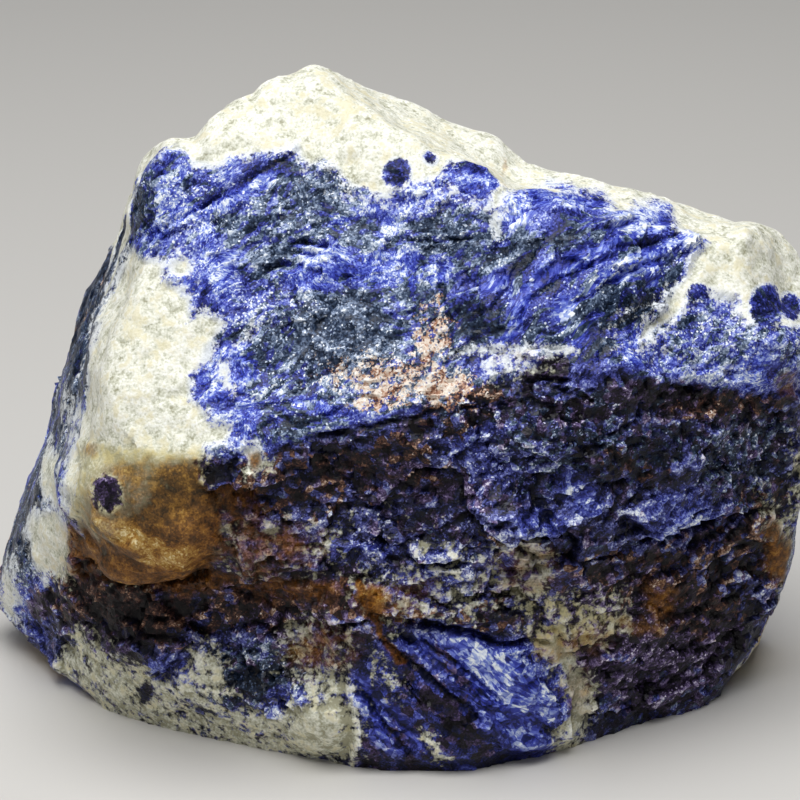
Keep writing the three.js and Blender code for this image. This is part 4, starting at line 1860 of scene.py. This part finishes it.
    @staticmethod
    def edit_faces(stone: bpy.types.Object, chosen: np.ndarray) -> None:
        """Opens edit mode with only the chosen faces selected.

        Args:
            stone: The piece.
            chosen: Whether each face is chosen.
        """
        bpy.context.tool_settings.mesh_select_mode = (False, False, True)
        bpy.ops.object.mode_set(mode="EDIT")
        bpy.ops.mesh.select_all(action="DESELECT")
        bpy.ops.object.mode_set(mode="OBJECT")
        stone.data.polygons.foreach_set("select", chosen)
        bpy.ops.object.mode_set(mode="EDIT")

    @staticmethod
    def write_fields(stone: bpy.types.Object, fields: dict[str, np.ndarray]) -> None:
        """Keeps the mineral map on the mesh, an attribute to each field.

        Args:
            stone: The piece.
            fields: The mineral map's fields.
        """
        for name, values in fields.items():
            attribute = stone.data.attributes.new(name, "FLOAT", "POINT")
            attribute.data.foreach_set("value", values.astype(np.float32))


@dataclass
class Studio:
    """The floor, the lights and the camera."""

    eye: Eye
    floor_m: float = 4.0
    key_watts: float = 5.3
    key_size_m: float = 0.5
    key_place_m: Triple = (-0.04, -0.14, 0.62)
    fill_watts: float = 0.7
    fill_size_m: float = 0.7
    fill_place_m: Triple = (-0.30, -0.75, 0.35)
    ambient: float = 0.09
    ambient_colour: Colour = tint(240, 242, 246)
    nearest_m: float = 0.01
    finish: FloorFinish = FloorFinish()

    def build(self) -> None:
        """Sets the scene up around the stone."""
        bpy.ops.object.select_all(action="DESELECT")
        bpy.ops.mesh.primitive_plane_add(size=self.floor_m)
        floor = bpy.context.active_object
        floor.name = "floor"
        floor.data.materials.append(self.finish.material())
        self.light("key", self.key_watts, self.key_size_m, self.key_place_m)
        self.light("fill", self.fill_watts, self.fill_size_m, self.fill_place_m)
        world = bpy.data.worlds.new("studio")
        world.use_nodes = True
        background = world.node_tree.nodes["Background"]
        background.inputs["Color"].default_value = self.ambient_colour
        background.inputs["Strength"].default_value = self.ambient
        bpy.context.scene.world = world
        bpy.context.scene.view_settings.view_transform = "Standard"
        self.camera()

    def light(self, name: str, watts: float, size: float, place: Triple) -> None:
        """Hangs one soft lamp that looks at the stone.

        Args:
            name: The lamp's name.
            watts: Its power.
            size: Its width in metres.
            place: Its place in metres.
        """
        lamp = bpy.data.lights.new(name, "AREA")
        lamp.energy = watts
        lamp.size = size
        holder = bpy.data.objects.new(name, lamp)
        holder.location = place
        aim = Vector(self.eye.target_mm) * MM - Vector(place)
        holder.rotation_euler = aim.to_track_quat("-Z", "Y").to_euler()
        bpy.context.scene.collection.objects.link(holder)

    def camera(self) -> None:
        """Places the camera at the eye."""
        camera = bpy.data.cameras.new("camera")
        camera.sensor_width = self.eye.sensor_mm
        camera.lens = self.eye.lens_mm
        camera.clip_start = self.nearest_m
        holder = bpy.data.objects.new("camera", camera)
        holder.location = self.eye.place_mm * MM
        holder.rotation_euler = (math.radians(90.0 - self.eye.elevation_deg), 0.0, 0.0)
        bpy.context.scene.collection.objects.link(holder)
        bpy.context.scene.camera = holder


def main() -> None:
    """Builds the stone and the studio."""
    logging.basicConfig(level=logging.INFO)
    eye = Eye()
    stone = SodaliteStone(eye).build()
    log.info("%s: %d faces", stone.name, len(stone.data.polygons))
    Studio(eye).build()
    log.info("studio set")


if __name__ == "__main__":
    main()
